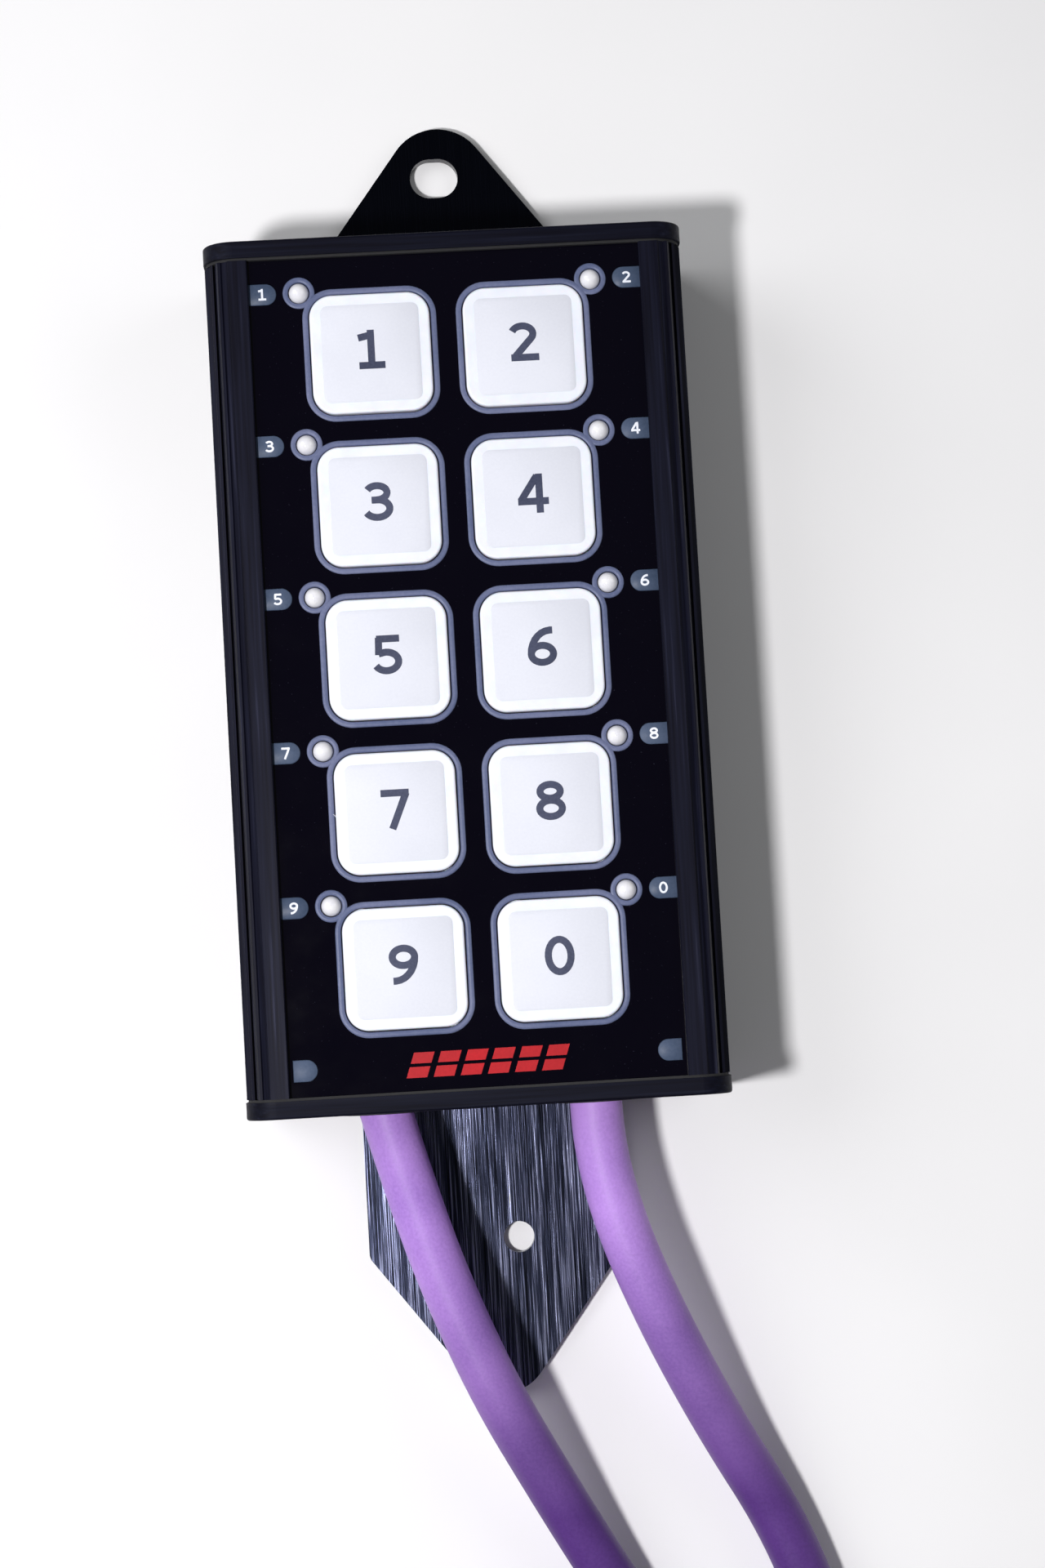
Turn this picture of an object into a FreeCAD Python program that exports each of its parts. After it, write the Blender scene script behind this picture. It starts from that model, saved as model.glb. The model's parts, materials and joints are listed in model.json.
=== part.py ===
"""Ten-key response keypad: an extruded aluminium box with ten film-covered keys and their lights, a flat
hanging bracket behind it, and two bus cables that end in screw connectors.  It lies on its back, face up.
All sizes are millimetres.  X is across the face, Y runs up the face, and Z comes out of it."""
import FreeCAD, Part
import math
import os

V = FreeCAD.Vector
Y_AXIS = V(0, 1, 0)
Z_AXIS = V(0, 0, 1)

# ---- driving dimensions: housing and bracket ----
HOUSING_WIDTH = 72.0
HOUSING_HEIGHT = 28.4
BODY_LENGTH = 125.0
HOUSING_MID_Y = 10.7
WALL = 2.0
PLATE_THICKNESS = 2.6
PLATE_OVERHANG = 0.1
PLATE_FRONT_RADIUS = 4.6
PLATE_BACK_RADIUS = 1.2
PLATE_EDGE_ROUND = 0.4
BACK_BEVEL = 0.8
GROOVE_COUNT = 5
GROOVE_PITCH = 3.2
GROOVE_DEPTH = 0.45
GROOVE_HALF = 0.4
GROOVE_FIRST_RISE = 4.0
# inset from the side and drop below the front of each point of the grooved front corner, from the side up
CORNER_STEPS = (
    (0.0, 5.2), (0.35, 5.0), (0.4, 3.6), (0.9, 3.4), (1.0, 2.2), (1.4, 2.0), (1.4, 2.9), (1.8, 2.9),
    (1.9, 1.3), (2.2, 0.7), (2.6, 0.7), (2.8, 0.9), (3.5, 0.4), (3.8, 0.0),
)
GASKET_THICKNESS = 0.4
GASKET_INSET = 0.25
GASKET_WINDOW_HALF = 26.0
GASKET_WINDOW_RISE = 1.0
BRACKET_THICKNESS = 2.0
BRACKET_OVERHANG = 75.0
BRACKET_WIDTH = 40.0
TAB_SLOPE_DEG = 37.0
TAB_TIP_RADIUS = 7.9
TAIL_TIP_RADIUS = 7.0
BRACKET_MID_X = 0.4
BRACKET_CORNER_RADIUS = 2.0
SLOT_X_CENTRE = -0.2
SLOT_WIDTH = 7.6
SLOT_HEIGHT = 6.3
SLOT_CORNER = 3.14
SLOT_SETBACK = 8.0
TAIL_HOLE_RADIUS = 2.4
TAIL_HOLE_X = 3.8
TAIL_HOLE_SETBACK = 23.9

# ---- driving dimensions: keys ----
KEY_ROWS = 5
KEY_LABELS = ("1", "2", "3", "4", "5", "6", "7", "8", "9", "0")
KEY_PITCH = 23.0
KEY_MID_Y = 12.4
KEY_SIZE = 18.0
KEY_CORNER = 3.4
KEY_RAISE = 0.5
KEY_TRAVEL = 0.6
KEY_CLEARANCE = 0.15
KEY_EDGE_ROUND = 0.35
KEY_FLANGE_LIP = 0.8
KEY_FLANGE_THICKNESS = 0.7
KEY_FLANGE_GAP = 0.1
KEY_SHELL = 1.3
OUTLINE_WIDTH = 1.1

# ---- driving dimensions: face ----
LIP_HEIGHT = 1.0
LIP_INSET = 6.6
LIP_BEVEL = 0.15
OVERLAY_THICKNESS = 0.6
MAT_THICKNESS = 0.6
PANEL_THICKNESS = 1.4
SLOT_REACH = 3.6
LEDGE_THICKNESS = 1.2
LEDGE_WIDTH = 4.0
SLIDE_GAP = 0.2
MAT_HALF_WIDTH = 24.4
LENS_RADIUS = 1.5
LENS_X = 21.9
LENS_RISE_Y = 9.7
LENS_PROUD = 1.0
LENS_GAP = 0.1
LENS_FLANGE = 0.8
LIGHT_WIDTH = 2.0
LIGHT_DEPTH = 1.3
LIGHT_HEIGHT = 0.8
HALO_RADIUS = 2.45
NUMBER_WINDOW_HEIGHT = 3.3
NUMBER_WINDOW_INNER_X = 25.2
NUMBER_WINDOW_REACH = 1.2
BLANK_WINDOW_INNER_X = 25.1
BLANK_WINDOW_OUTER_X = 28.8
BLANK_WINDOW_Y = -47.9

# ---- driving dimensions: inside ----
BOARD_THICKNESS = 1.6
BOARD_BOTTOM_Z = 15.6
BOARD_LOWER_GAP = 11.8
BOARD_UPPER_GAP = 1.5
BOARD_SIDE_GAP = 0.3
BOARD_RIB = 1.1
BOARD_RIB_REACH = 2.4
SWITCH_SIZE = 6.2
SWITCH_HEIGHT = 5.0
SWITCH_BASE = 1.0
STEM_RADIUS = 1.7
STEM_CLEARANCE = 0.15
CONTACT_THICKNESS = 0.08
COLLAR_RADIUS = 2.5
TENON_RADIUS = 1.5
TENON_LENGTH = 1.6
BOSS_RADIUS = 3.5
PORT_WALL = 1.2
PORT_INSET = 4.1
PORT_UPPER_Z = 22.0
PORT_LOWER_Z = 6.3
SCREW_RADIUS = 1.5
SCREW_HEAD_RADIUS = 2.8
SCREW_LENGTH = 10.0
SCREW_HOLE_GAP = 0.1
RECESS_LENGTH_SHARE = 1.1
RECESS_WIDTH_SHARE = 0.22
BRACKET_SCREW_DX = 24.0
BRACKET_SCREW_DY = 72.0
NUT_THICKNESS = 2.4
NUT_ACROSS_FLATS = 5.5
TERMINAL_X = 16.0
TERMINAL_WIDTH = 17.0
TERMINAL_DEPTH = 9.0
TERMINAL_HEIGHT = 9.0
TERMINAL_SCREW_RADIUS = 1.0
TERMINAL_SCREW_SET = 1.2
TERMINAL_SCREW_DEPTH = 1.0
CAPACITOR_PLACES = (-24.0, -12.0, 12.0, 24.0)
CAPACITOR_Y = 55.0
CAPACITOR_HEIGHT = 7.0
CAPACITOR_RADIUS = 3.2
# x, y, width, depth and height of each flat chip under the board
UNDERSIDE_CHIPS = (
    (0.0, 30.0, 12.0, 12.0, 1.6), (-16.0, -12.0, 5.0, 4.0, 1.5), (16.0, -12.0, 5.0, 4.0, 1.5),
    (0.0, 14.0, 8.0, 3.6, 3.2), (20.0, 26.0, 6.4, 3.2, 2.5),
)
CORE_RADIUS = 0.8
CORE_PITCH = 2.4
CORE_START_SHARE = 0.8
CORE_START_DROP_SHARE = 0.2
CORE_END_GAP = 0.5

# ---- driving dimensions: cables ----
CABLE_RADIUS = 4.0
CABLE_LIFT = 10.0
GROMMET_WALL = 1.6
GROMMET_LIP = 1.0
GROMMET_LIP_THICKNESS = 0.5
CLAMP_SETBACK = 3.3
CLAMP_WIDTH = 5.0
CLAMP_CAP = 3.0
CLAMP_SPLIT = 0.6
CLAMP_SCREW_X = 26.0
CLAMP_SCREW_RISE = 1.0
CLAMP_SCREW_SOCKET_RADIUS = 1.2
COIL_CENTRE = (6.0, -131.2)
COIL_INNER_RADIUS = 40.0
COIL_TURNS = 2
COIL_SLACK = 0.15
COIL_ROUND = 3.8
TUNNEL_GAP = 0.4
TIE_WIDTH = 14.0
TIE_THICKNESS = 1.0
TIE_ANGLE_DEG = {"left": 240.0, "right": 120.0}

# Points of each free cable, from the end of the sheath inside the box to where its coil begins.
# Here and below, Y is measured from the lower end plate's outer face. Z is the lift off the surface.
LEAD_ROUTES = {
    "left": [
        (-18.4, 10.8, 10.0), (-15.8, 0.0, 10.0), (-12.9, -10.8, 10.0), (-9.6, -22.2, 10.0),
        (-5.2, -34.2, 10.0), (-0.4, -45.4, 9.3), (5.4, -56.6, 6.4), (11.8, -68.6, 3.0),
        (18.3, -79.9, 0.9), (26.5, -91.2, 0.1), (34.6, -100.2, 0.0),
    ],
    "right": [
        (16.3, 10.8, 10.0), (16.2, 0.4, 10.0), (16.8, -9.6, 10.0), (19.4, -20.4, 10.0),
        (23.3, -30.8, 9.3), (28.2, -41.8, 6.8), (34.3, -53.8, 3.4), (40.8, -65.2, 1.0),
        (45.6, -77.0, 0.2), (48.9, -89.8, 0.0), (51.2, -102.8, 0.0), (53.2, -115.8, 0.0),
    ],
}
# Points of each cable's other end, from the top of the coil down to its connector. The last number is
# a share of the climb from the connector's height to that of a cable that lies on the coil.
END_ROUTES = {
    "left": [
        (45.9, -138.5, 0.984), (44.4, -150.9, 1.048), (41.4, -163.0, 1.096), (36.7, -174.6, 1.024),
        (30.6, -185.5, 0.744), (23.4, -195.7, 0.376), (15.5, -205.4, 0.112), (7.3, -214.8, 0.0),
        (-1.1, -224.1, 0.0),
    ],
    "right": [
        (54.6, -146.2, 0.984), (54.2, -158.7, 0.888), (53.1, -171.2, 0.584), (51.1, -183.5, 0.264),
        (48.3, -195.7, 0.056), (44.9, -207.7, 0.0), (41.2, -219.6, 0.0),
    ],
}

# ---- driving dimensions: connectors ----
RELIEF_LENGTH = 18.0
RELIEF_END_RADIUS = 4.9
RELIEF_STEP = 1.0
GRIP_RADIUS = 7.1
GRIP_LENGTH = 24.0
GRIP_RIBS = 18
GRIP_RIB_RADIUS = 0.45
COUPLING_RADIUS = 7.4
COUPLING_LIFT = 0.1
COUPLING_GAP = 0.3
COUPLING_LENGTH = 12.5
COUPLING_KNURLS = 24
KNURL_RADIUS = 0.4
COLLAR_LENGTH = 6.5
THREAD_RADIUS = 5.95
INNER_THREAD_RADIUS = 5.5
NECK_RADIUS = 4.2
RUNNING_GAP = 0.08
RETAINER_RADIUS = 4.9
RETAINER_LENGTH = 0.9
WEB_LENGTH = 3.0
PIN_RADIUS = 0.5
PIN_CIRCLE = 2.6
PIN_COUNT = 4
PIN_LENGTH = 5.0
PIN_STANDOUT = 3.5
SLEEVE_BORE_RADIUS = 0.3
NECK_SETBACK = 1.5
GRIP_EDGE_ROUND = 0.8
ARC_SHARE = 0.45

# ---- places worked out from the sizes above ----
BRACKET_LENGTH = BODY_LENGTH + BRACKET_OVERHANG
SLOT_Y = BRACKET_LENGTH / 2 - SLOT_SETBACK
TAIL_HOLE_Y = TAIL_HOLE_SETBACK - BRACKET_LENGTH / 2
BACK_Z = BRACKET_THICKNESS
FLOOR_Z = BACK_Z + WALL
TOP_Z = BACK_Z + HOUSING_HEIGHT
OVERLAY_TOP = TOP_Z - LIP_HEIGHT
MAT_TOP = OVERLAY_TOP - OVERLAY_THICKNESS
PANEL_TOP = MAT_TOP - MAT_THICKNESS
PANEL_BOTTOM = PANEL_TOP - PANEL_THICKNESS
KEY_TOP = OVERLAY_TOP + KEY_RAISE
KEY_BOTTOM = PANEL_BOTTOM - KEY_FLANGE_GAP - KEY_FLANGE_THICKNESS
BOARD_TOP = BOARD_BOTTOM_Z + BOARD_THICKNESS
SWITCH_TOP = BOARD_TOP + SWITCH_HEIGHT
HALF_WIDTH = HOUSING_WIDTH / 2
INNER_X = HALF_WIDTH - WALL
LIP_INNER_X = HALF_WIDTH - LIP_INSET
PORT_X = HALF_WIDTH - PORT_INSET
SLOT_X = LIP_INNER_X + SLOT_REACH
FACE_HALF = SLOT_X - SLIDE_GAP
BODY_LOW = HOUSING_MID_Y - BODY_LENGTH / 2
BODY_HIGH = HOUSING_MID_Y + BODY_LENGTH / 2
BOARD_LOWER_Y = BODY_LOW + BOARD_LOWER_GAP
CLAMP_Y = BODY_LOW + CLAMP_SETBACK
LOW_PLATE_OUTER = BODY_LOW - GASKET_THICKNESS - PLATE_THICKNESS
HOLE_HALF = KEY_SIZE / 2 + KEY_CLEARANCE
SIDES = {"left": -1, "right": 1}
CABLE_Z = CABLE_RADIUS + CABLE_LIFT
COIL_HEIGHT = COIL_TURNS * 2 * CABLE_RADIUS
COIL_RADII = {"left": COIL_INNER_RADIUS, "right": COIL_INNER_RADIUS + 2 * CABLE_RADIUS}
CONNECTOR_Z = COUPLING_RADIUS + COUPLING_LIFT
COIL_X = COIL_CENTRE[0]
COIL_Y = COIL_CENTRE[1] + LOW_PLATE_OUTER


def box(x0, x1, y0, y1, z0, z1):
    return Part.makeBox(x1 - x0, y1 - y0, z1 - z0, V(x0, y0, z0))


def post(x, y, z0, z1, radius):
    return Part.makeCylinder(radius, z1 - z0, V(x, y, z0), Z_AXIS)


def rod(start, end, radius):
    return Part.makeCylinder(radius, (end - start).Length, start, end - start)


def edges_along(shape, axis):
    """The straight edges of a shape that run along an axis."""
    found = []
    for edge in shape.Edges:
        if isinstance(edge.Curve, Part.Line) and abs(edge.tangentAt(edge.FirstParameter).dot(axis)) > 0.999:
            found.append(edge)
    return found


def rounded_prism(x, y, width, height, radius, z0, z1):
    block = box(x - width / 2, x + width / 2, y - height / 2, y + height / 2, z0, z1)
    return block.makeFillet(radius, edges_along(block, Z_AXIS))


def extruded(points, y0, y1):
    """A closed outline of (x, z) points, drawn out along Y."""
    corners = [V(x, y0, z) for x, z in points + points[:1]]
    return Part.Face(Part.makePolygon(corners)).extrude(V(0, y1 - y0, 0))


def mirrored(points):
    """An outline's right half, from bottom to top, with its mirror image."""
    return points + [(-x, z) for x, z in reversed(points)]


def union(shapes):
    return shapes[0].multiFuse(shapes[1:]).removeSplitter() if len(shapes) > 1 else shapes[0]


def key_places():
    """(label, x, y, side) of each key, left column then right in each row from the top."""
    places = []
    for number, label in enumerate(KEY_LABELS):
        side = -1 if number % 2 == 0 else 1
        row = number // 2
        y = KEY_MID_Y + ((KEY_ROWS - 1) / 2 - row) * KEY_PITCH
        places.append((label, side * KEY_PITCH / 2, y, side))
    return places


def plate_screw_places():
    return [(side * PORT_X, z) for side in (-1, 1) for z in (PORT_LOWER_Z, PORT_UPPER_Z)]


def bracket_screw_places():
    dx = BRACKET_SCREW_DX / 2
    dy = BRACKET_SCREW_DY / 2
    return [(sx * dx, HOUSING_MID_Y + sy * dy) for sx in (-1, 1) for sy in (-1, 1)]


def countersunk_screw(head, direction, length, radius=SCREW_RADIUS, head_radius=SCREW_HEAD_RADIUS):
    """A flat-headed screw whose head's face is at a point, with a cross recess."""
    depth = head_radius - radius
    cone = Part.makeCone(head_radius, radius, depth, head, direction)
    shank = Part.makeCylinder(radius, length - depth, head + direction * depth, direction)
    screw = cone.fuse(shank)
    slot = head_radius * RECESS_LENGTH_SHARE
    width = head_radius * RECESS_WIDTH_SHARE
    for turn in (0, 90):
        bar = Part.makeBox(slot, width, depth, V(-slot / 2, -width / 2, 0))
        bar.rotate(V(0, 0, 0), Z_AXIS, turn)
        bar.Placement = FreeCAD.Placement(head, FreeCAD.Rotation(Z_AXIS, direction)).multiply(bar.Placement)
        screw = screw.cut(bar)
    return screw


# ---- housing ----
def corner_outline():
    """The grooved front corner of the extrusion, from the side wall up to the edge of the lip."""
    steps = [(HALF_WIDTH - inset, TOP_Z - drop) for inset, drop in CORNER_STEPS]
    return steps + [(LIP_INNER_X + LIP_BEVEL, TOP_Z), (LIP_INNER_X, TOP_Z - LIP_BEVEL)]


def side_grooves():
    """Shallow grooves down the outside of each side wall."""
    floor_x = HALF_WIDTH - GROOVE_DEPTH
    points = []
    for count in range(GROOVE_COUNT):
        z = BACK_Z + GROOVE_FIRST_RISE + count * GROOVE_PITCH
        points += [(HALF_WIDTH, z - GROOVE_HALF), (floor_x, z - GROOVE_HALF / 2),
                   (floor_x, z + GROOVE_HALF / 2), (HALF_WIDTH, z + GROOVE_HALF)]
    return points


def channel_outline():
    """The inside of the extrusion, from the lip down past the panel slot and the board slot to the floor."""
    ledge_x = INNER_X - LEDGE_WIDTH
    ledge_z = PANEL_BOTTOM - LEDGE_THICKNESS
    rib_x = INNER_X - BOARD_RIB_REACH
    return [
        (LIP_INNER_X, OVERLAY_TOP), (SLOT_X, OVERLAY_TOP), (SLOT_X, PANEL_BOTTOM), (ledge_x, PANEL_BOTTOM),
        (ledge_x, ledge_z), (INNER_X, ledge_z),
        (INNER_X, BOARD_TOP + BOARD_RIB), (rib_x, BOARD_TOP + BOARD_RIB),
        (rib_x, BOARD_TOP), (INNER_X, BOARD_TOP), (INNER_X, BOARD_BOTTOM_Z), (rib_x, BOARD_BOTTOM_Z),
        (rib_x, BOARD_BOTTOM_Z - BOARD_RIB), (INNER_X, BOARD_BOTTOM_Z - BOARD_RIB), (INNER_X, FLOOR_Z),
    ]


def housing_extrusion():
    outer = [(HALF_WIDTH - BACK_BEVEL, BACK_Z), (HALF_WIDTH, BACK_Z + BACK_BEVEL)]
    half = outer + side_grooves() + corner_outline() + channel_outline()
    shell = extruded(mirrored(half), BODY_LOW, BODY_HIGH)
    length = V(0, BODY_LENGTH, 0)
    ports = [rod(V(x, BODY_LOW, z), V(x, BODY_LOW, z) + length, SCREW_RADIUS + PORT_WALL)
             for x, z in plate_screw_places()]
    starts = [V(x, BODY_LOW, z) for x, z in plate_screw_places()]
    bores = [rod(start, start + length, SCREW_RADIUS) for start in starts]
    holes = [post(x, y, BACK_Z, FLOOR_Z, SCREW_RADIUS + SCREW_HOLE_GAP) for x, y in bracket_screw_places()]
    return union([shell] + ports).cut(bores + holes)


def end_plate(inner_y, outward):
    """A flat plate that closes one end; outward is +1 at the top end and -1 at the cable end."""
    half = HALF_WIDTH + PLATE_OVERHANG
    y0, y1 = sorted((inner_y, inner_y + outward * PLATE_THICKNESS))
    plate = box(-half, half, y0, y1, BACK_Z, TOP_Z + PLATE_OVERHANG)
    middle = (BACK_Z + TOP_Z) / 2
    front = [edge for edge in edges_along(plate, Y_AXIS) if edge.CenterOfMass.z > middle]
    plate = plate.makeFillet(PLATE_FRONT_RADIUS, front)
    back = [edge for edge in edges_along(plate, Y_AXIS) if edge.CenterOfMass.z < BACK_Z + 0.01]
    plate = plate.makeFillet(PLATE_BACK_RADIUS, back)
    outer_y = inner_y + outward * PLATE_THICKNESS
    rim = [edge for edge in plate.Edges if abs(edge.CenterOfMass.y - outer_y) < 0.01 and edge.Length > 1.0]
    plate = plate.makeFillet(PLATE_EDGE_ROUND, rim)
    inward = V(0, -outward, 0)
    cuts = []
    for x, z in plate_screw_places():
        face = V(x, outer_y, z)
        depth = SCREW_HEAD_RADIUS - SCREW_RADIUS
        narrow = SCREW_RADIUS + SCREW_HOLE_GAP
        cuts.append(Part.makeCylinder(narrow, PLATE_THICKNESS, face, inward))
        cuts.append(Part.makeCone(SCREW_HEAD_RADIUS + SCREW_HOLE_GAP, narrow, depth, face, inward))
    return plate.cut(cuts)


def lead_route(side):
    """The points of a cable from the box to its coil, set off from a cable that lies flat."""
    return [V(x, y + LOW_PLATE_OUTER, lift + CABLE_RADIUS) for x, y, lift in LEAD_ROUTES[side]]


def end_route(side):
    """The points of a cable's other end, between the coil's top and its connector."""
    climb = COIL_HEIGHT + CABLE_RADIUS - CONNECTOR_Z
    return [V(x, y + LOW_PLATE_OUTER, CONNECTOR_Z + share * climb) for x, y, share in END_ROUTES[side]]


def cable_exit(side):
    """Where a cable's centre line crosses the middle of the lower end plate."""
    start, end = lead_route(side)[:2]
    share = (LOW_PLATE_OUTER + PLATE_THICKNESS / 2 - start.y) / (end.y - start.y)
    return start + (end - start) * share


def bottom_end_plate():
    plate = end_plate(BODY_LOW - GASKET_THICKNESS, -1)
    for side in SIDES:
        place = cable_exit(side)
        hole = Part.makeCylinder(CABLE_RADIUS + GROMMET_WALL, PLATE_THICKNESS * 3,
                                 V(place.x, LOW_PLATE_OUTER - PLATE_THICKNESS, place.z), Y_AXIS)
        plate = plate.cut(hole)
    return plate


def end_gasket(inner_y, outward):
    """A thin rubber frame between the extrusion and a plate."""
    half = HALF_WIDTH - GASKET_INSET
    y0, y1 = sorted((inner_y, inner_y + outward * GASKET_THICKNESS))
    frame = box(-half, half, y0, y1, BACK_Z + GASKET_INSET, TOP_Z - GASKET_INSET)
    front = [edge for edge in edges_along(frame, Y_AXIS) if edge.CenterOfMass.z > FLOOR_Z]
    frame = frame.makeFillet(PLATE_FRONT_RADIUS, front)
    window = box(-GASKET_WINDOW_HALF, GASKET_WINDOW_HALF, y0, y1,
                 FLOOR_Z + GASKET_WINDOW_RISE, PANEL_BOTTOM - LEDGE_THICKNESS)
    cuts = [Part.makeCylinder(SCREW_RADIUS + SCREW_HOLE_GAP, GASKET_THICKNESS, V(x, y0, z), Y_AXIS)
            for x, z in plate_screw_places()]
    return frame.cut([window] + cuts)


def plate_screws(inner_y, outward):
    outer_y = inner_y + outward * PLATE_THICKNESS
    direction = V(0, -outward, 0)
    return Part.makeCompound([countersunk_screw(V(x, outer_y, z), direction, SCREW_LENGTH)
                              for x, z in plate_screw_places()])


# ---- bracket ----
def bracket_end(tip_y, tip_radius, outward):
    """Shoulder y of one tapered end, and the x and y where its straight side meets the round tip."""
    slope = math.radians(TAB_SLOPE_DEG)
    half = BRACKET_WIDTH / 2
    centre_y = tip_y - outward * tip_radius
    touch_x = tip_radius * math.cos(slope)
    touch_y = centre_y + outward * tip_radius * math.sin(slope)
    shoulder_y = touch_y - outward * (half - touch_x) / math.tan(slope)
    return shoulder_y, touch_x, touch_y


def mounting_bracket():
    """A flat bar with a slotted tab above the housing and a drilled tail below it."""
    x = BRACKET_MID_X
    half = BRACKET_WIDTH / 2
    top = BRACKET_LENGTH / 2
    up_shoulder, up_x, up_y = bracket_end(top, TAB_TIP_RADIUS, 1)
    low_shoulder, low_x, low_y = bracket_end(-top, TAIL_TIP_RADIUS, -1)
    edges = [
        Part.LineSegment(V(x + half, low_shoulder, 0), V(x + half, up_shoulder, 0)),
        Part.LineSegment(V(x + half, up_shoulder, 0), V(x + up_x, up_y, 0)),
        Part.Arc(V(x + up_x, up_y, 0), V(x, top, 0), V(x - up_x, up_y, 0)),
        Part.LineSegment(V(x - up_x, up_y, 0), V(x - half, up_shoulder, 0)),
        Part.LineSegment(V(x - half, up_shoulder, 0), V(x - half, low_shoulder, 0)),
        Part.LineSegment(V(x - half, low_shoulder, 0), V(x - low_x, low_y, 0)),
        Part.Arc(V(x - low_x, low_y, 0), V(x, -top, 0), V(x + low_x, low_y, 0)),
        Part.LineSegment(V(x + low_x, low_y, 0), V(x + half, low_shoulder, 0)),
    ]
    outline = Part.Wire([edge.toShape() for edge in edges])
    bar = Part.Face(outline).extrude(V(0, 0, BRACKET_THICKNESS))
    corners = [edge for edge in edges_along(bar, Z_AXIS)
               if abs(edge.CenterOfMass.x - x) > half - 0.01]
    bar = bar.makeFillet(BRACKET_CORNER_RADIUS, corners)
    slot = rounded_prism(SLOT_X_CENTRE, SLOT_Y, SLOT_WIDTH, SLOT_HEIGHT, SLOT_CORNER, 0, BRACKET_THICKNESS)
    hole = post(TAIL_HOLE_X, TAIL_HOLE_Y, 0, BRACKET_THICKNESS, TAIL_HOLE_RADIUS)
    cuts = [slot, hole]
    for sx, sy in bracket_screw_places():
        depth = SCREW_HEAD_RADIUS - SCREW_RADIUS
        gap = SCREW_HOLE_GAP
        cuts.append(post(sx, sy, 0, BRACKET_THICKNESS, SCREW_RADIUS + gap))
        cuts.append(Part.makeCone(SCREW_HEAD_RADIUS + gap, SCREW_RADIUS + gap, depth, V(sx, sy, 0), Z_AXIS))
    return bar.cut(cuts)


def bracket_screws():
    length = FLOOR_Z + NUT_THICKNESS + SCREW_RADIUS / 2
    screws = [countersunk_screw(V(x, y, 0), Z_AXIS, length) for x, y in bracket_screw_places()]
    return Part.makeCompound(screws)


def hexagon_nut(x, y, z):
    corner = NUT_ACROSS_FLATS / math.sqrt(3)
    points = [V(x + corner * math.cos(math.radians(a)), y + corner * math.sin(math.radians(a)), z)
              for a in range(0, 361, 60)]
    nut = Part.Face(Part.makePolygon(points)).extrude(V(0, 0, NUT_THICKNESS))
    return nut.cut(post(x, y, z, z + NUT_THICKNESS, SCREW_RADIUS))


def bracket_nuts():
    return Part.makeCompound([hexagon_nut(x, y, FLOOR_Z) for x, y in bracket_screw_places()])


# ---- face ----
def layer(half_width, z0, z1):
    return box(-half_width, half_width, BODY_LOW, BODY_HIGH, z0, z1)


def key_holes(z0, z1, half, radius):
    return [rounded_prism(x, y, 2 * half, 2 * half, radius, z0, z1) for _, x, y, _ in key_places()]


def lens_places():
    return [(side * LENS_X, y + LENS_RISE_Y, side) for _, _, y, side in key_places()]


def lens_holes(z0, z1, radius):
    return [post(x, y, z0, z1, radius) for x, y, _ in lens_places()]


def front_panel():
    """The stiff carrier that the keys and lenses pass through."""
    span = (PANEL_BOTTOM, PANEL_TOP)
    cuts = key_holes(*span, HOLE_HALF, KEY_CORNER + KEY_CLEARANCE)
    cuts += lens_holes(*span, LENS_RADIUS + LENS_GAP)
    return layer(FACE_HALF, *span).cut(cuts)


def key_seal_mat():
    """A grey silicone mat whose edge shows as an outline around each key and lens."""
    span = (PANEL_TOP, MAT_TOP)
    cuts = key_holes(*span, HOLE_HALF, KEY_CORNER + KEY_CLEARANCE)
    cuts += lens_holes(*span, LENS_RADIUS + LENS_GAP)
    return layer(MAT_HALF_WIDTH, *span).cut(cuts)


def legend_strips():
    """Two printed strips that show through the small windows beside the lenses."""
    strips = []
    for side in (-1, 1):
        x0, x1 = sorted((side * (MAT_HALF_WIDTH + SLIDE_GAP), side * FACE_HALF))
        strips.append(box(x0, x1, BODY_LOW, BODY_HIGH, PANEL_TOP, MAT_TOP))
    return Part.makeCompound(strips)


def side_window(side, y, inner_x, outer_x):
    """A window beside the keys with a round inner end."""
    half = NUMBER_WINDOW_HEIGHT / 2
    x0, x1 = sorted((side * (inner_x + half), side * outer_x))
    strip = box(x0, x1, y - half, y + half, MAT_TOP, OVERLAY_TOP)
    return strip.fuse(post(side * (inner_x + half), y, MAT_TOP, OVERLAY_TOP, half))


def graphic_overlay():
    """The black face film, open over the keys, the lenses and the side windows."""
    span = (MAT_TOP, OVERLAY_TOP)
    window_half = KEY_SIZE / 2 + OUTLINE_WIDTH
    windows = key_holes(*span, window_half, KEY_CORNER + OUTLINE_WIDTH)
    windows += lens_holes(*span, HALO_RADIUS)
    for x, y, side in lens_places():
        windows.append(side_window(side, y, NUMBER_WINDOW_INNER_X, LIP_INNER_X + NUMBER_WINDOW_REACH))
    for side in (-1, 1):
        windows.append(side_window(side, BLANK_WINDOW_Y, BLANK_WINDOW_INNER_X, BLANK_WINDOW_OUTER_X))
    return layer(FACE_HALF, *span).cut(union(windows))


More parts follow.
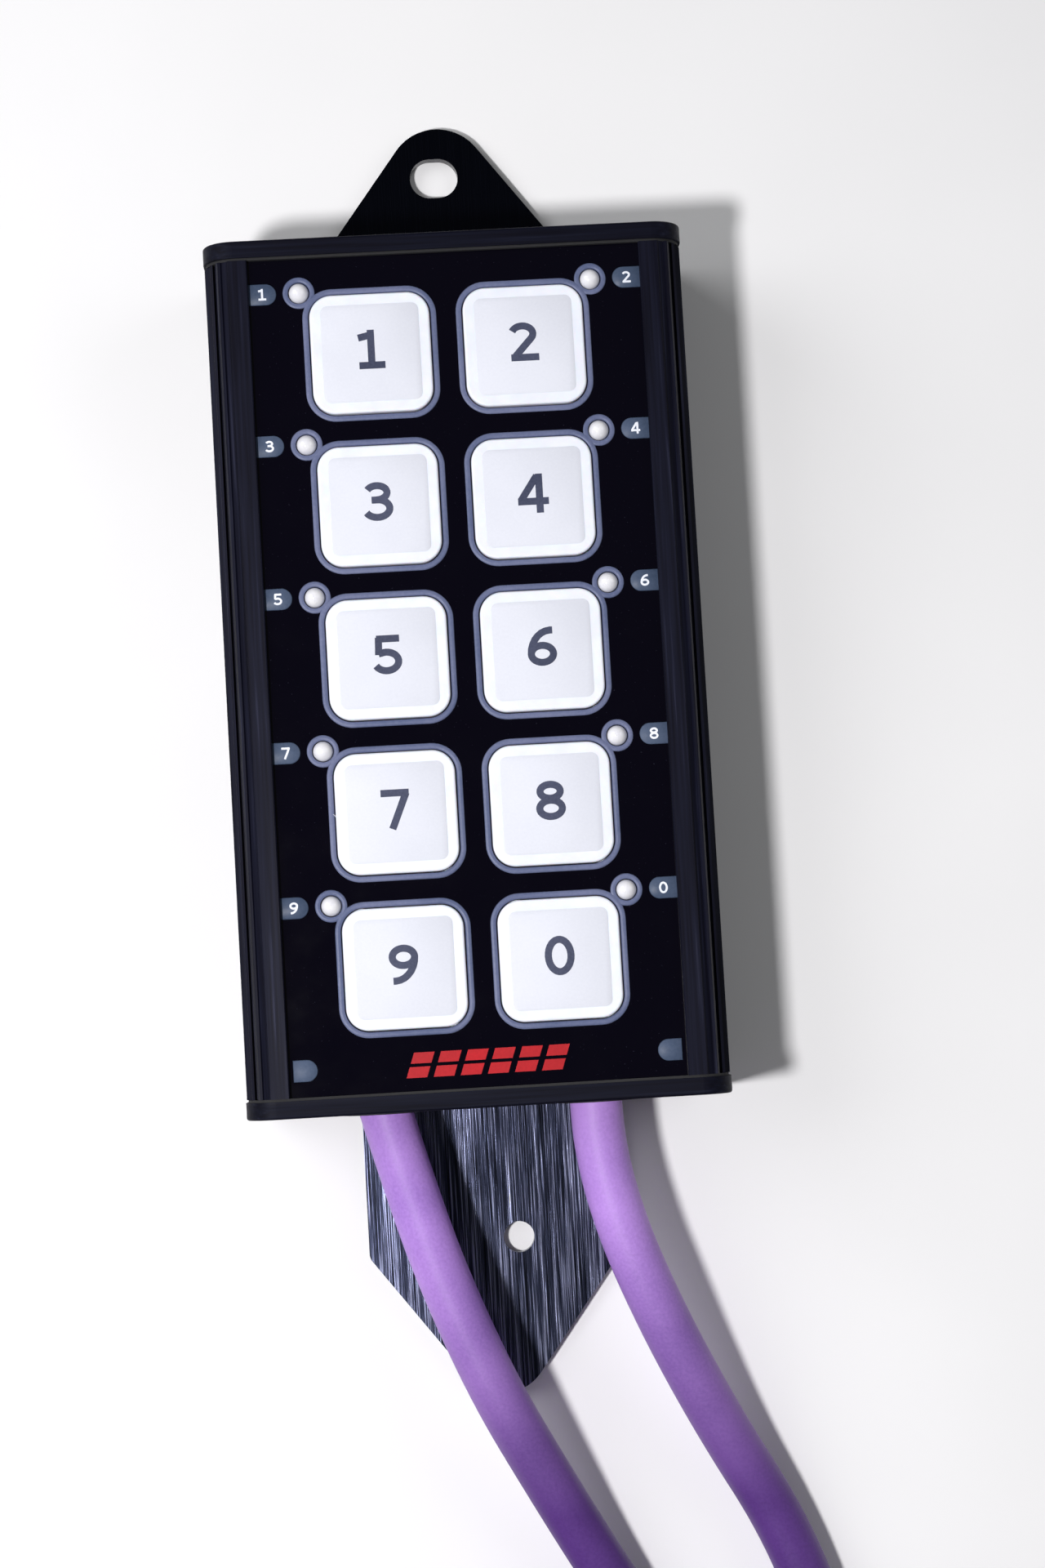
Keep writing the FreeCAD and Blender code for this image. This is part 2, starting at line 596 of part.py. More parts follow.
def key_cap(x, y):
    """A hollow square cap with a retaining flange under the panel and a boss for its plunger."""
    body = rounded_prism(x, y, KEY_SIZE, KEY_SIZE, KEY_CORNER, KEY_BOTTOM, KEY_TOP)
    top = [edge for edge in body.Edges if abs(edge.CenterOfMass.z - KEY_TOP) < 0.01]
    body = body.makeFillet(KEY_EDGE_ROUND, top)
    flange_size = KEY_SIZE + 2 * KEY_FLANGE_LIP
    flange = rounded_prism(x, y, flange_size, flange_size, KEY_CORNER + KEY_FLANGE_LIP,
                           KEY_BOTTOM, KEY_BOTTOM + KEY_FLANGE_THICKNESS)
    room = KEY_SIZE - 2 * KEY_SHELL
    ceiling = KEY_TOP - KEY_SHELL
    hollow = rounded_prism(x, y, room, room, KEY_CORNER - KEY_SHELL, KEY_BOTTOM, ceiling)
    boss = post(x, y, KEY_BOTTOM, ceiling, BOSS_RADIUS)
    socket = post(x, y, KEY_BOTTOM, KEY_BOTTOM + TENON_LENGTH, TENON_RADIUS)
    return body.fuse(flange).cut(hollow).fuse(boss).cut(socket)


def key_plunger(x, y):
    """A stepped pin: a tenon in the cap's boss, a collar, and the stem that enters the switch."""
    collar_bottom = SWITCH_TOP + KEY_TRAVEL + KEY_FLANGE_GAP
    stem_bottom = BOARD_TOP + SWITCH_BASE + CONTACT_THICKNESS + KEY_TRAVEL + CONTACT_THICKNESS
    collar = post(x, y, collar_bottom, KEY_BOTTOM, COLLAR_RADIUS)
    tenon = post(x, y, KEY_BOTTOM, KEY_BOTTOM + TENON_LENGTH, TENON_RADIUS)
    stem = post(x, y, stem_bottom, collar_bottom, STEM_RADIUS)
    return union([collar, tenon, stem])


def switch_bodies():
    bodies = []
    for _, x, y, _ in key_places():
        half = SWITCH_SIZE / 2
        body = box(x - half, x + half, y - half, y + half, BOARD_TOP, SWITCH_TOP)
        bore = post(x, y, BOARD_TOP + SWITCH_BASE, SWITCH_TOP, STEM_RADIUS + STEM_CLEARANCE)
        bodies.append(body.cut(bore))
    return Part.makeCompound(bodies)


def switch_contacts():
    base = BOARD_TOP + SWITCH_BASE
    return Part.makeCompound([post(x, y, base, base + CONTACT_THICKNESS, STEM_RADIUS)
                              for _, x, y, _ in key_places()])


def lens(x, y):
    """A clear light pipe with a domed end that stands proud of the face."""
    dome_z = OVERLAY_TOP + LENS_PROUD - LENS_RADIUS
    pipe = post(x, y, BOARD_TOP + LIGHT_HEIGHT, dome_z, LENS_RADIUS)
    ball = Part.makeSphere(LENS_RADIUS, V(x, y, dome_z))
    flange = post(x, y, PANEL_BOTTOM - LENS_FLANGE, PANEL_BOTTOM, LENS_RADIUS + LENS_FLANGE / 2)
    return union([pipe, ball, flange])


def led_lenses():
    return Part.makeCompound([lens(x, y) for x, y, _ in lens_places()])


def status_lights():
    lights = []
    for x, y, _ in lens_places():
        lights.append(box(x - LIGHT_WIDTH / 2, x + LIGHT_WIDTH / 2, y - LIGHT_DEPTH / 2, y + LIGHT_DEPTH / 2,
                          BOARD_TOP, BOARD_TOP + LIGHT_HEIGHT))
    return Part.makeCompound(lights)


# ---- inside ----
def circuit_board():
    half = INNER_X - BOARD_SIDE_GAP
    return box(-half, half, BOARD_LOWER_Y, BODY_HIGH - BOARD_UPPER_GAP, BOARD_BOTTOM_Z, BOARD_TOP)


def board_components():
    """The controller, two bus drivers, a crystal and four capacitors under the board."""
    parts = []
    for x, y, width, depth, height in UNDERSIDE_CHIPS:
        parts.append(box(x - width / 2, x + width / 2, y - depth / 2, y + depth / 2,
                         BOARD_BOTTOM_Z - height, BOARD_BOTTOM_Z))
    low = BOARD_BOTTOM_Z - CAPACITOR_HEIGHT
    for x in CAPACITOR_PLACES:
        parts.append(post(x, CAPACITOR_Y, low, BOARD_BOTTOM_Z, CAPACITOR_RADIUS))
    return Part.makeCompound(parts)


def core_offsets():
    return [(count - 1) * CORE_PITCH for count in range(3)]


def terminal_z():
    return CABLE_Z - CORE_PITCH


def terminal_block(side):
    x = SIDES[side] * TERMINAL_X
    y0 = BOARD_LOWER_Y + CORE_PITCH / 2
    top = BOARD_BOTTOM_Z
    half = TERMINAL_WIDTH / 2
    block = box(x - half, x + half, y0, y0 + TERMINAL_DEPTH, top - TERMINAL_HEIGHT, top)
    cuts = []
    for offset in core_offsets():
        cuts.append(rod(V(x + offset, y0, terminal_z()), V(x + offset, y0 + TERMINAL_DEPTH / 2, terminal_z()),
                        CORE_RADIUS + SCREW_HOLE_GAP))
        cuts.append(post(x + offset, y0 + TERMINAL_DEPTH / 2 + TERMINAL_SCREW_SET, top - TERMINAL_HEIGHT,
                         top - TERMINAL_HEIGHT / 2, TERMINAL_SCREW_RADIUS))
    return block.cut(cuts)


def terminal_blocks():
    return Part.makeCompound([terminal_block(side) for side in SIDES])


def terminal_screws():
    screws = []
    y = BOARD_LOWER_Y + CORE_PITCH / 2 + TERMINAL_DEPTH / 2 + TERMINAL_SCREW_SET
    top = BOARD_BOTTOM_Z - TERMINAL_HEIGHT / 2
    low = BOARD_BOTTOM_Z - TERMINAL_HEIGHT + TERMINAL_SCREW_DEPTH
    for side in SIDES:
        for offset in core_offsets():
            x = SIDES[side] * TERMINAL_X + offset
            screws.append(post(x, y, low, top, TERMINAL_SCREW_RADIUS))
    return Part.makeCompound(screws)


def core_wires():
    """Three insulated cores from each sheath's end to its terminal block."""
    wires = []
    for side in SIDES:
        sheath_end = lead_route(side)[0]
        y1 = BOARD_LOWER_Y + CORE_PITCH / 2 + TERMINAL_DEPTH / 2
        for offset in core_offsets():
            start = sheath_end + V(offset * CORE_START_SHARE, 0, -abs(offset) * CORE_START_DROP_SHARE)
            bend = V(SIDES[side] * TERMINAL_X + offset, BOARD_LOWER_Y + CORE_PITCH / 4, terminal_z())
            end = V(bend.x, y1 - CORE_END_GAP, bend.z)
            joint = Part.makeSphere(CORE_RADIUS, bend)
            wires.append(union([rod(start, bend, CORE_RADIUS), joint, rod(bend, end, CORE_RADIUS)]))
    return Part.makeCompound(wires)


# ---- cable entries ----
def grommet(side):
    """A rubber ring in the end plate with a thin lip on its outer face."""
    place = cable_exit(side)
    outer = CABLE_RADIUS + GROMMET_WALL
    ring = rod(V(place.x, LOW_PLATE_OUTER, place.z), V(place.x, BODY_LOW, place.z), outer)
    lip = rod(V(place.x, LOW_PLATE_OUTER - GROMMET_LIP_THICKNESS, place.z),
              V(place.x, LOW_PLATE_OUTER, place.z), outer + GROMMET_LIP)
    start, end = lead_route(side)[:2]
    bore = rod(start, end + V(0, -2 * GROMMET_WALL, 0), CABLE_RADIUS)
    return ring.fuse(lip).cut(bore)


def clamp_block(z0, z1):
    half = INNER_X - BOARD_RIB_REACH - SLIDE_GAP
    y0 = CLAMP_Y - CLAMP_WIDTH / 2
    block = box(-half, half, y0, y0 + CLAMP_WIDTH, z0, z1)
    cuts = []
    for side in SIDES:
        start, end = lead_route(side)[:2]
        cuts.append(rod(start, end, CABLE_RADIUS))
        cuts.append(post(SIDES[side] * CLAMP_SCREW_X, CLAMP_Y, z0, z1, SCREW_RADIUS))
    cuts.append(post(0, CLAMP_Y, z0, z1, SCREW_RADIUS))
    port = SCREW_RADIUS + PORT_WALL
    cuts += [rod(V(x, BODY_LOW, z), V(x, BODY_HIGH, z), port + SLIDE_GAP) for x, z in plate_screw_places()]
    return block.cut(cuts)


def clamp_base():
    return clamp_block(FLOOR_Z, CABLE_Z - CLAMP_SPLIT / 2)


def clamp_bar():
    return clamp_block(CABLE_Z + CLAMP_SPLIT / 2, CABLE_Z + CABLE_RADIUS + CLAMP_CAP)


def clamp_screws():
    top = CABLE_Z + CABLE_RADIUS + CLAMP_CAP
    screws = []
    for x in (-CLAMP_SCREW_X, 0, CLAMP_SCREW_X):
        shank = post(x, CLAMP_Y, FLOOR_Z + CLAMP_SCREW_RISE, top, SCREW_RADIUS)
        head = post(x, CLAMP_Y, top, top + SCREW_RADIUS, SCREW_HEAD_RADIUS)
        socket = post(x, CLAMP_Y, top + SCREW_RADIUS / 2, top + SCREW_RADIUS, CLAMP_SCREW_SOCKET_RADIUS)
        screws.append(shank.fuse(head).cut(socket))
    return Part.makeCompound(screws)


# ---- cables ----
def rounded_path(corners):
    """Straight runs joined by tangent arcs, each as large as its two runs allow; also the smallest radius."""
    edges = []
    radii = []
    start = corners[0]
    for before, corner, after in zip(corners, corners[1:], corners[2:]):
        into = corner - before
        away = after - corner
        turn = into.getAngle(away)
        cut = ARC_SHARE * min(into.Length, away.Length)
        radii.append(cut / math.tan(turn / 2))
        into.normalize()
        away.normalize()
        first = corner - into * cut
        last = corner + away * cut
        inward = away - into
        inward.normalize()
        middle = corner + inward * (radii[-1] / math.cos(turn / 2) - radii[-1])
        edges.append(Part.LineSegment(start, first).toShape())
        edges.append(Part.Arc(first, middle, last).toShape())
        start = last
    edges.append(Part.LineSegment(start, corners[-1]).toShape())
    return Part.Wire(edges), min(radii)


def cable_tube(name, corners):
    """A round tube along a route, with its bend radius and volume printed."""
    path, tightest = rounded_path(corners)
    section = Part.Wire([Part.makeCircle(CABLE_RADIUS, corners[0], corners[1] - corners[0])])
    tube = path.makePipeShell([section], True, False)
    expected = math.pi * CABLE_RADIUS ** 2 * path.Length
    print(f"{name}: length {path.Length:.1f}, tightest radius {tightest:.1f}, "
          f"volume ratio {tube.Volume / expected:.4f}")
    return tube


def cable(side):
    """The stretch from the box to the coil, and the stretch from the coil to the connector."""
    return Part.makeCompound([cable_tube(f"cable_{side} lead", lead_route(side)),
                              cable_tube(f"cable_{side} end", end_route(side))])


def coil(side):
    """The outer shape of the wound turns; the left cable runs in under the right coil."""
    half = CABLE_RADIUS - COIL_SLACK
    radius = COIL_RADII[side]
    ring = post(COIL_X, COIL_Y, 0, COIL_HEIGHT, radius + half)
    ring = ring.cut(post(COIL_X, COIL_Y, 0, COIL_HEIGHT, radius - half))
    rims = [edge for edge in ring.Edges if isinstance(edge.Curve, Part.Circle)]
    ring = ring.makeFillet(min(COIL_ROUND, half - COIL_SLACK), rims)
    if side == "right":
        ring = ring.cut(lead_tunnel())
    return ring


def lead_tunnel():
    """The way of the left cable's last runs, down to the surface below."""
    points = lead_route("left")[-4:]
    radius = CABLE_RADIUS + TUNNEL_GAP
    runs = []
    for start, end in zip(points, points[1:]):
        runs.append(rod(start, end, radius))
        runs.append(rod(V(start.x, start.y, 0), V(end.x, end.y, 0), radius))
    return runs + [Part.makeSphere(radius, point) for point in points]


def tie(side):
    """A flat strap round both coils."""
    inner = COIL_RADII["left"] - CABLE_RADIUS
    outer = COIL_RADII["right"] + CABLE_RADIUS
    half = TIE_WIDTH / 2
    strap = box(inner - TIE_THICKNESS, outer + TIE_THICKNESS, -half, half, 0, COIL_HEIGHT + TIE_THICKNESS)
    strap = strap.makeFillet(COIL_ROUND, edges_along(strap, Y_AXIS))
    room = box(inner, outer, -half, half, TIE_THICKNESS, COIL_HEIGHT)
    room = room.makeFillet(COIL_ROUND - TIE_THICKNESS, edges_along(room, Y_AXIS))
    strap = strap.cut(room)
    strap.rotate(V(0, 0, 0), Z_AXIS, TIE_ANGLE_DEG[side])
    strap.translate(V(COIL_X, COIL_Y, 0))
    return strap


# ---- connectors ----
def connector_axis(side):
    """Where the cable enters its connector, and the level direction it points in."""
    before, entry = end_route(side)[-2:]
    direction = V(entry.x - before.x, entry.y - before.y, 0)
    direction.normalize()
    return entry, direction


def placed(shape, side):
    """Moves a shape built along +Z from the origin onto a connector's axis."""
    entry, direction = connector_axis(side)
    shape.Placement = FreeCAD.Placement(entry, FreeCAD.Rotation(Z_AXIS, direction))
    return shape


def ribbed(shape, z0, z1, radius, count, groove):
    """Cuts grooves along a round grip."""
    cuts = []
    for number in range(count):
        angle = 2 * math.pi * number / count
        cuts.append(post(radius * math.cos(angle), radius * math.sin(angle), z0, z1, groove))
    return shape.cut(cuts)


def connector(side):
    """The moulded body: tapered relief, ribbed grip, and a neck that carries the contacts."""
    relief = Part.makeCone(RELIEF_END_RADIUS, GRIP_RADIUS - RELIEF_STEP, RELIEF_LENGTH, V(0, 0, 0), Z_AXIS)
    grip = post(0, 0, RELIEF_LENGTH, RELIEF_LENGTH + GRIP_LENGTH, GRIP_RADIUS)
    rims = [edge for edge in grip.Edges if isinstance(edge.Curve, Part.Circle)]
    grip = grip.makeFillet(GRIP_EDGE_ROUND, rims)
    margin = GRIP_EDGE_ROUND * 2
    grip = ribbed(grip, RELIEF_LENGTH + margin, RELIEF_LENGTH + GRIP_LENGTH - margin, GRIP_RADIUS, GRIP_RIBS,
                  GRIP_RIB_RADIUS)
    front = RELIEF_LENGTH + GRIP_LENGTH
    tip = front + COUPLING_GAP + COUPLING_LENGTH - NECK_SETBACK
    neck = post(0, 0, front, tip, NECK_RADIUS)
    shelf = front + COUPLING_GAP + WEB_LENGTH + RUNNING_GAP
    retainer = post(0, 0, shelf, shelf + RETAINER_LENGTH, RETAINER_RADIUS)
    body = union([relief, grip, neck, retainer])
    cuts = [post(x, y, tip - PIN_LENGTH, tip, PIN_RADIUS) for x, y in pin_places()]
    return placed(body.cut(cuts), side)


def pin_places():
    step = 2 * math.pi / PIN_COUNT
    return [(PIN_CIRCLE * math.cos(step * (count + 0.5)), PIN_CIRCLE * math.sin(step * (count + 0.5)))
            for count in range(PIN_COUNT)]


def contacts(side):
    """Four gold contacts: pins that stand out of the left neck, sleeves flush in the right one."""
    tip = RELIEF_LENGTH + GRIP_LENGTH + COUPLING_GAP + COUPLING_LENGTH - NECK_SETBACK
    reach = PIN_STANDOUT if side == "left" else 0
    pins = []
    for x, y in pin_places():
        pin = post(x, y, tip - PIN_LENGTH, tip + reach, PIN_RADIUS)
        if side == "right":
            pin = pin.cut(post(x, y, tip - PIN_LENGTH / 2, tip, SLEEVE_BORE_RADIUS))
        pins.append(pin)
    return placed(Part.makeCompound(pins), side)


def coupling(side):
    """A knurled ring that turns on the neck: the left one's thread is outside, the right one's inside."""
    start = RELIEF_LENGTH + GRIP_LENGTH + COUPLING_GAP
    end = start + COUPLING_LENGTH
    if side == "left":
        ring = union([post(0, 0, start, start + COLLAR_LENGTH, COUPLING_RADIUS),
                      post(0, 0, start + COLLAR_LENGTH, end, THREAD_RADIUS)])
        knurl_end = start + COLLAR_LENGTH
        room_radius = RETAINER_RADIUS + RUNNING_GAP
    else:
        ring = post(0, 0, start, end, COUPLING_RADIUS)
        knurl_end = end
        room_radius = INNER_THREAD_RADIUS
    rims = [edge for edge in ring.Edges if isinstance(edge.Curve, Part.Circle)]
    ring = ring.makeChamfer(KNURL_RADIUS, rims)
    ring = ribbed(ring, start, knurl_end, COUPLING_RADIUS, COUPLING_KNURLS, KNURL_RADIUS)
    bore = post(0, 0, start, start + WEB_LENGTH, NECK_RADIUS + RUNNING_GAP)
    room = post(0, 0, start + WEB_LENGTH, end, room_radius)
    return placed(ring.cut([bore, room]), side)


def all_parts():
    """Every sub-part's name and shape."""
    top_joint = BODY_HIGH + GASKET_THICKNESS
    low_joint = BODY_LOW - GASKET_THICKNESS
    parts = {
        "housing_extrusion": housing_extrusion(),
        "top_end_plate": end_plate(top_joint, 1),
        "bottom_end_plate": bottom_end_plate(),
        "top_end_gasket": end_gasket(BODY_HIGH, 1),
        "bottom_end_gasket": end_gasket(BODY_LOW, -1),
        "top_plate_screws": plate_screws(top_joint, 1),
        "bottom_plate_screws": plate_screws(low_joint, -1),
        "mounting_bracket": mounting_bracket(),
        "bracket_screws": bracket_screws(),
        "bracket_nuts": bracket_nuts(),
        "front_panel": front_panel(),
        "key_seal_mat": key_seal_mat(),
        "legend_strips": legend_strips(),
        "graphic_overlay": graphic_overlay(),
        "switch_bodies": switch_bodies(),
        "switch_contacts": switch_contacts(),
        "led_lenses": led_lenses(),
        "status_lights": status_lights(),
        "circuit_board": circuit_board(),
        "board_components": board_components(),
        "terminal_blocks": terminal_blocks(),
        "terminal_screws": terminal_screws(),
        "core_wires": core_wires(),
        "clamp_base": clamp_base(),
        "clamp_bar": clamp_bar(),
        "clamp_screws": clamp_screws(),
    }
    for label, x, y, _ in key_places():
        parts[f"key_cap_{label}"] = key_cap(x, y)
        parts[f"key_plunger_{label}"] = key_plunger(x, y)
    for side in SIDES:
        parts[f"grommet_{side}"] = grommet(side)
        parts[f"cable_{side}"] = cable(side)
        parts[f"coil_{side}"] = coil(side)
        parts[f"tie_{side}"] = tie(side)
        parts[f"connector_{side}"] = connector(side)
        parts[f"coupling_{side}"] = coupling(side)
        parts[f"contacts_{side}"] = contacts(side)
    return parts


def main():
    os.makedirs("parts", exist_ok=True)
    for name, shape in all_parts().items():
        if not shape.isValid():
            raise ValueError(f"{name} is not a valid solid")
        shape.exportStep(f"parts/{name}.step")
        print(f"{name}: {len(shape.Solids)} solid(s), {shape.Volume:.1f} mm3")


main()
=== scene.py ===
"""The looks of a ten-key response keypad with a hanging bracket and two bus cables, in metres."""
import json
import math

import bpy
from mathutils import Matrix, Vector


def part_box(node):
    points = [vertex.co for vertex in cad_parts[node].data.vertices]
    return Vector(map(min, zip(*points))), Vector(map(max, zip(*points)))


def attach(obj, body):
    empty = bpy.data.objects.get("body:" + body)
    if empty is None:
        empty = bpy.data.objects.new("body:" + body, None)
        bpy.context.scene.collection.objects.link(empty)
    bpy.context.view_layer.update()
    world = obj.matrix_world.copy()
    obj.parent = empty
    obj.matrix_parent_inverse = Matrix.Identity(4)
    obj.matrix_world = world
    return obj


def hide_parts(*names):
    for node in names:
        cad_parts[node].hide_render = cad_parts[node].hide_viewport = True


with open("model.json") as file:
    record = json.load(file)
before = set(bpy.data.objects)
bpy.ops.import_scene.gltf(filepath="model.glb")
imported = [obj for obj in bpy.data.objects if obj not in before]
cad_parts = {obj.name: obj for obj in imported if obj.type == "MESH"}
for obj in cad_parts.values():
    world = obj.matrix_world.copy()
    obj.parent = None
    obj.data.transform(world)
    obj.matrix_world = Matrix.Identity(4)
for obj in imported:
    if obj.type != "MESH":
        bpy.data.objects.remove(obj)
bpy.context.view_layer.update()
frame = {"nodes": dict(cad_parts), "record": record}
nodes = frame["nodes"]

MM = 0.001
KEY_LABELS = ("1", "2", "3", "4", "5", "6", "7", "8", "9", "0")
SIDES = ("left", "right")


def centre(node):
    low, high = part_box(node)
    return (low + high) / 2


KEY_TOP_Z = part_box("key_cap_5")[1].z
KEY_MID = Vector((0.0, centre("key_cap_5").y, KEY_TOP_Z))
OVERLAY_TOP_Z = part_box("graphic_overlay")[1].z
STRIP_TOP_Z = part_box("legend_strips")[1].z

# ---- camera: 0.45 m above the keys, a little left of them and below, turned a few degrees ----
# The offset is in metres from the middle key's top, the turns are in degrees, the lens is in mm.
CAMERA_OFFSET = Vector((-0.0088, -0.0506, 0.4476))
CAMERA_TURN, CAMERA_PITCH, CAMERA_ROLL = 3.31, -3.93, 2.07
CAMERA_LENS = 69.5
CAMERA_CLIP_START = 0.01


def make_camera():
    turn = (Matrix.Rotation(math.radians(CAMERA_TURN), 3, "Z")
            @ Matrix.Rotation(math.radians(CAMERA_PITCH), 3, "X")
            @ Matrix.Rotation(math.radians(CAMERA_ROLL), 3, "Y"))
    data = bpy.data.cameras.new("camera")
    data.lens = CAMERA_LENS
    data.clip_start = CAMERA_CLIP_START
    camera = bpy.data.objects.new("camera", data)
    camera.matrix_world = Matrix.Translation(KEY_MID + CAMERA_OFFSET) @ turn.transposed().to_4x4()
    bpy.context.scene.collection.objects.link(camera)
    bpy.context.scene.camera = camera


make_camera()

# ---- cables: LEADS run from inside the box to the coil, ENDS from the coil to the connector ----
CABLE_RADIUS = 4.0 * MM
COIL_RADII = {"left": 0.040, "right": 0.048}
COIL_ENTRY_DEG = {"left": 47.3, "right": 17.3}
COIL_TRAVEL_DEG = {"left": 760, "right": 740}
COIL_STEP_DEG = 20
RAMP_START, RAMP_END = 0.55, 0.86
CABLE_STEPS = 6
SECTION_STEPS = 8
LEADS = {
    "left": [
        (-0.0184, -0.0440, 0.0140), (-0.0158, -0.0548, 0.0140), (-0.0129, -0.0656, 0.0140),
        (-0.0096, -0.0770, 0.0140), (-0.0052, -0.0890, 0.0140), (-0.0004, -0.1002, 0.0133),
        (0.0054, -0.1114, 0.0104), (0.0118, -0.1234, 0.0070), (0.0183, -0.1347, 0.0049),
        (0.0265, -0.1460, 0.0041), (0.0346, -0.1550, 0.0040),
    ],
    "right": [
        (0.0163, -0.0440, 0.0140), (0.0162, -0.0544, 0.0140), (0.0168, -0.0644, 0.0140),
        (0.0194, -0.0752, 0.0140), (0.0233, -0.0856, 0.0133), (0.0282, -0.0966, 0.0108),
        (0.0343, -0.1086, 0.0074), (0.0408, -0.1200, 0.0050), (0.0456, -0.1318, 0.0042),
        (0.0489, -0.1446, 0.0040), (0.0512, -0.1576, 0.0040), (0.0532, -0.1706, 0.0040),
    ],
}
ENDS = {
    "left": [
        (0.0459, -0.1933, 0.0198), (0.0444, -0.2057, 0.0206), (0.0414, -0.2178, 0.0212),
        (0.0367, -0.2294, 0.0203), (0.0306, -0.2403, 0.0168), (0.0234, -0.2505, 0.0122),
        (0.0155, -0.2602, 0.0089), (0.0073, -0.2696, 0.0075), (-0.0011, -0.2789, 0.0075),
    ],
    "right": [
        (0.0546, -0.2010, 0.0198), (0.0542, -0.2135, 0.0186), (0.0531, -0.2260, 0.0148),
        (0.0511, -0.2383, 0.0108), (0.0483, -0.2505, 0.0082), (0.0449, -0.2625, 0.0075),
        (0.0412, -0.2744, 0.0075),
    ],
}


def ease(value, low, high):
    """0 below low, 1 above high and a smooth rise between them."""
    share = min(1.0, max(0.0, (value - low) / (high - low)))
    return share * share * (3 - 2 * share)


def coil_point(side, travel):
    """A point of the clockwise turns, that many degrees after the cable joins them.

    Each turn lies on the last and climbs to it between the RAMP shares of the turn.
    """
    turn, share = divmod(travel / 360.0, 1.0)
    height = CABLE_RADIUS * (1 + 2 * (turn + ease(share, RAMP_START, RAMP_END)))
    angle = math.radians(COIL_ENTRY_DEG[side] - travel)
    radius = COIL_RADII[side] / math.cos(math.radians(COIL_STEP_DEG / 2))
    middle = centre("coil_left")
    return (middle.x + radius * math.cos(angle), middle.y + radius * math.sin(angle), height)


def make_cable(side):
    """One sheath from inside the box, over the tail, round its coil and into its connector."""
    travels = range(COIL_STEP_DEG, COIL_TRAVEL_DEG[side] + 1, COIL_STEP_DEG)
    points = LEADS[side] + [coil_point(side, travel) for travel in travels] + ENDS[side]
    curve = bpy.data.curves.new(f"cable_sheath_{side}", "CURVE")
    curve.dimensions = "3D"
    curve.resolution_u = CABLE_STEPS
    # The thickness is given by the points, because the curve's box is measured by their radii.
    curve.bevel_depth = 1.0
    curve.bevel_resolution = SECTION_STEPS
    curve.use_fill_caps = True
    spline = curve.splines.new("NURBS")
    spline.points.add(len(points) - 1)
    for slot, point in zip(spline.points, points):
        slot.co = (*point, 1.0)
        slot.radius = CABLE_RADIUS
    spline.order_u = 3
    spline.use_endpoint_u = True
    cable = bpy.data.objects.new(f"cable_sheath_{side}", curve)
    bpy.context.scene.collection.objects.link(cable)
    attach(cable, "root")
    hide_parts(f"cable_{side}", f"coil_{side}")
    return cable


cables = [make_cable(side) for side in SIDES]

# ---- material building ----
STREAKS_ALONG_Y = (1.0, 0.02, 1.0)
STREAKS_ALONG_X = (0.02, 1.0, 1.0)
EVEN = (1.0, 1.0, 1.0)
# The bracket has a painted highlight of bright silver streaks below the first y and painted shade, plain
# black, above the second; between them the highlight fades.
BRACKET_PAINTED_HIGHLIGHT_BELOW_Y = -0.06
BRACKET_PAINTED_SHADE_ABOVE_Y = 0.04
# Painted light on the cables: darkest, painted in shade, below the first y and lightest, painted as lit,
# above the second.
CABLE_PAINTED_SHADE_BELOW_Y = -0.118
CABLE_PAINTED_LIGHT_ABOVE_Y = -0.072
NOISE_LOW, NOISE_HIGH = 0.3, 0.7
TRACKS_PER_METRE = 250.0


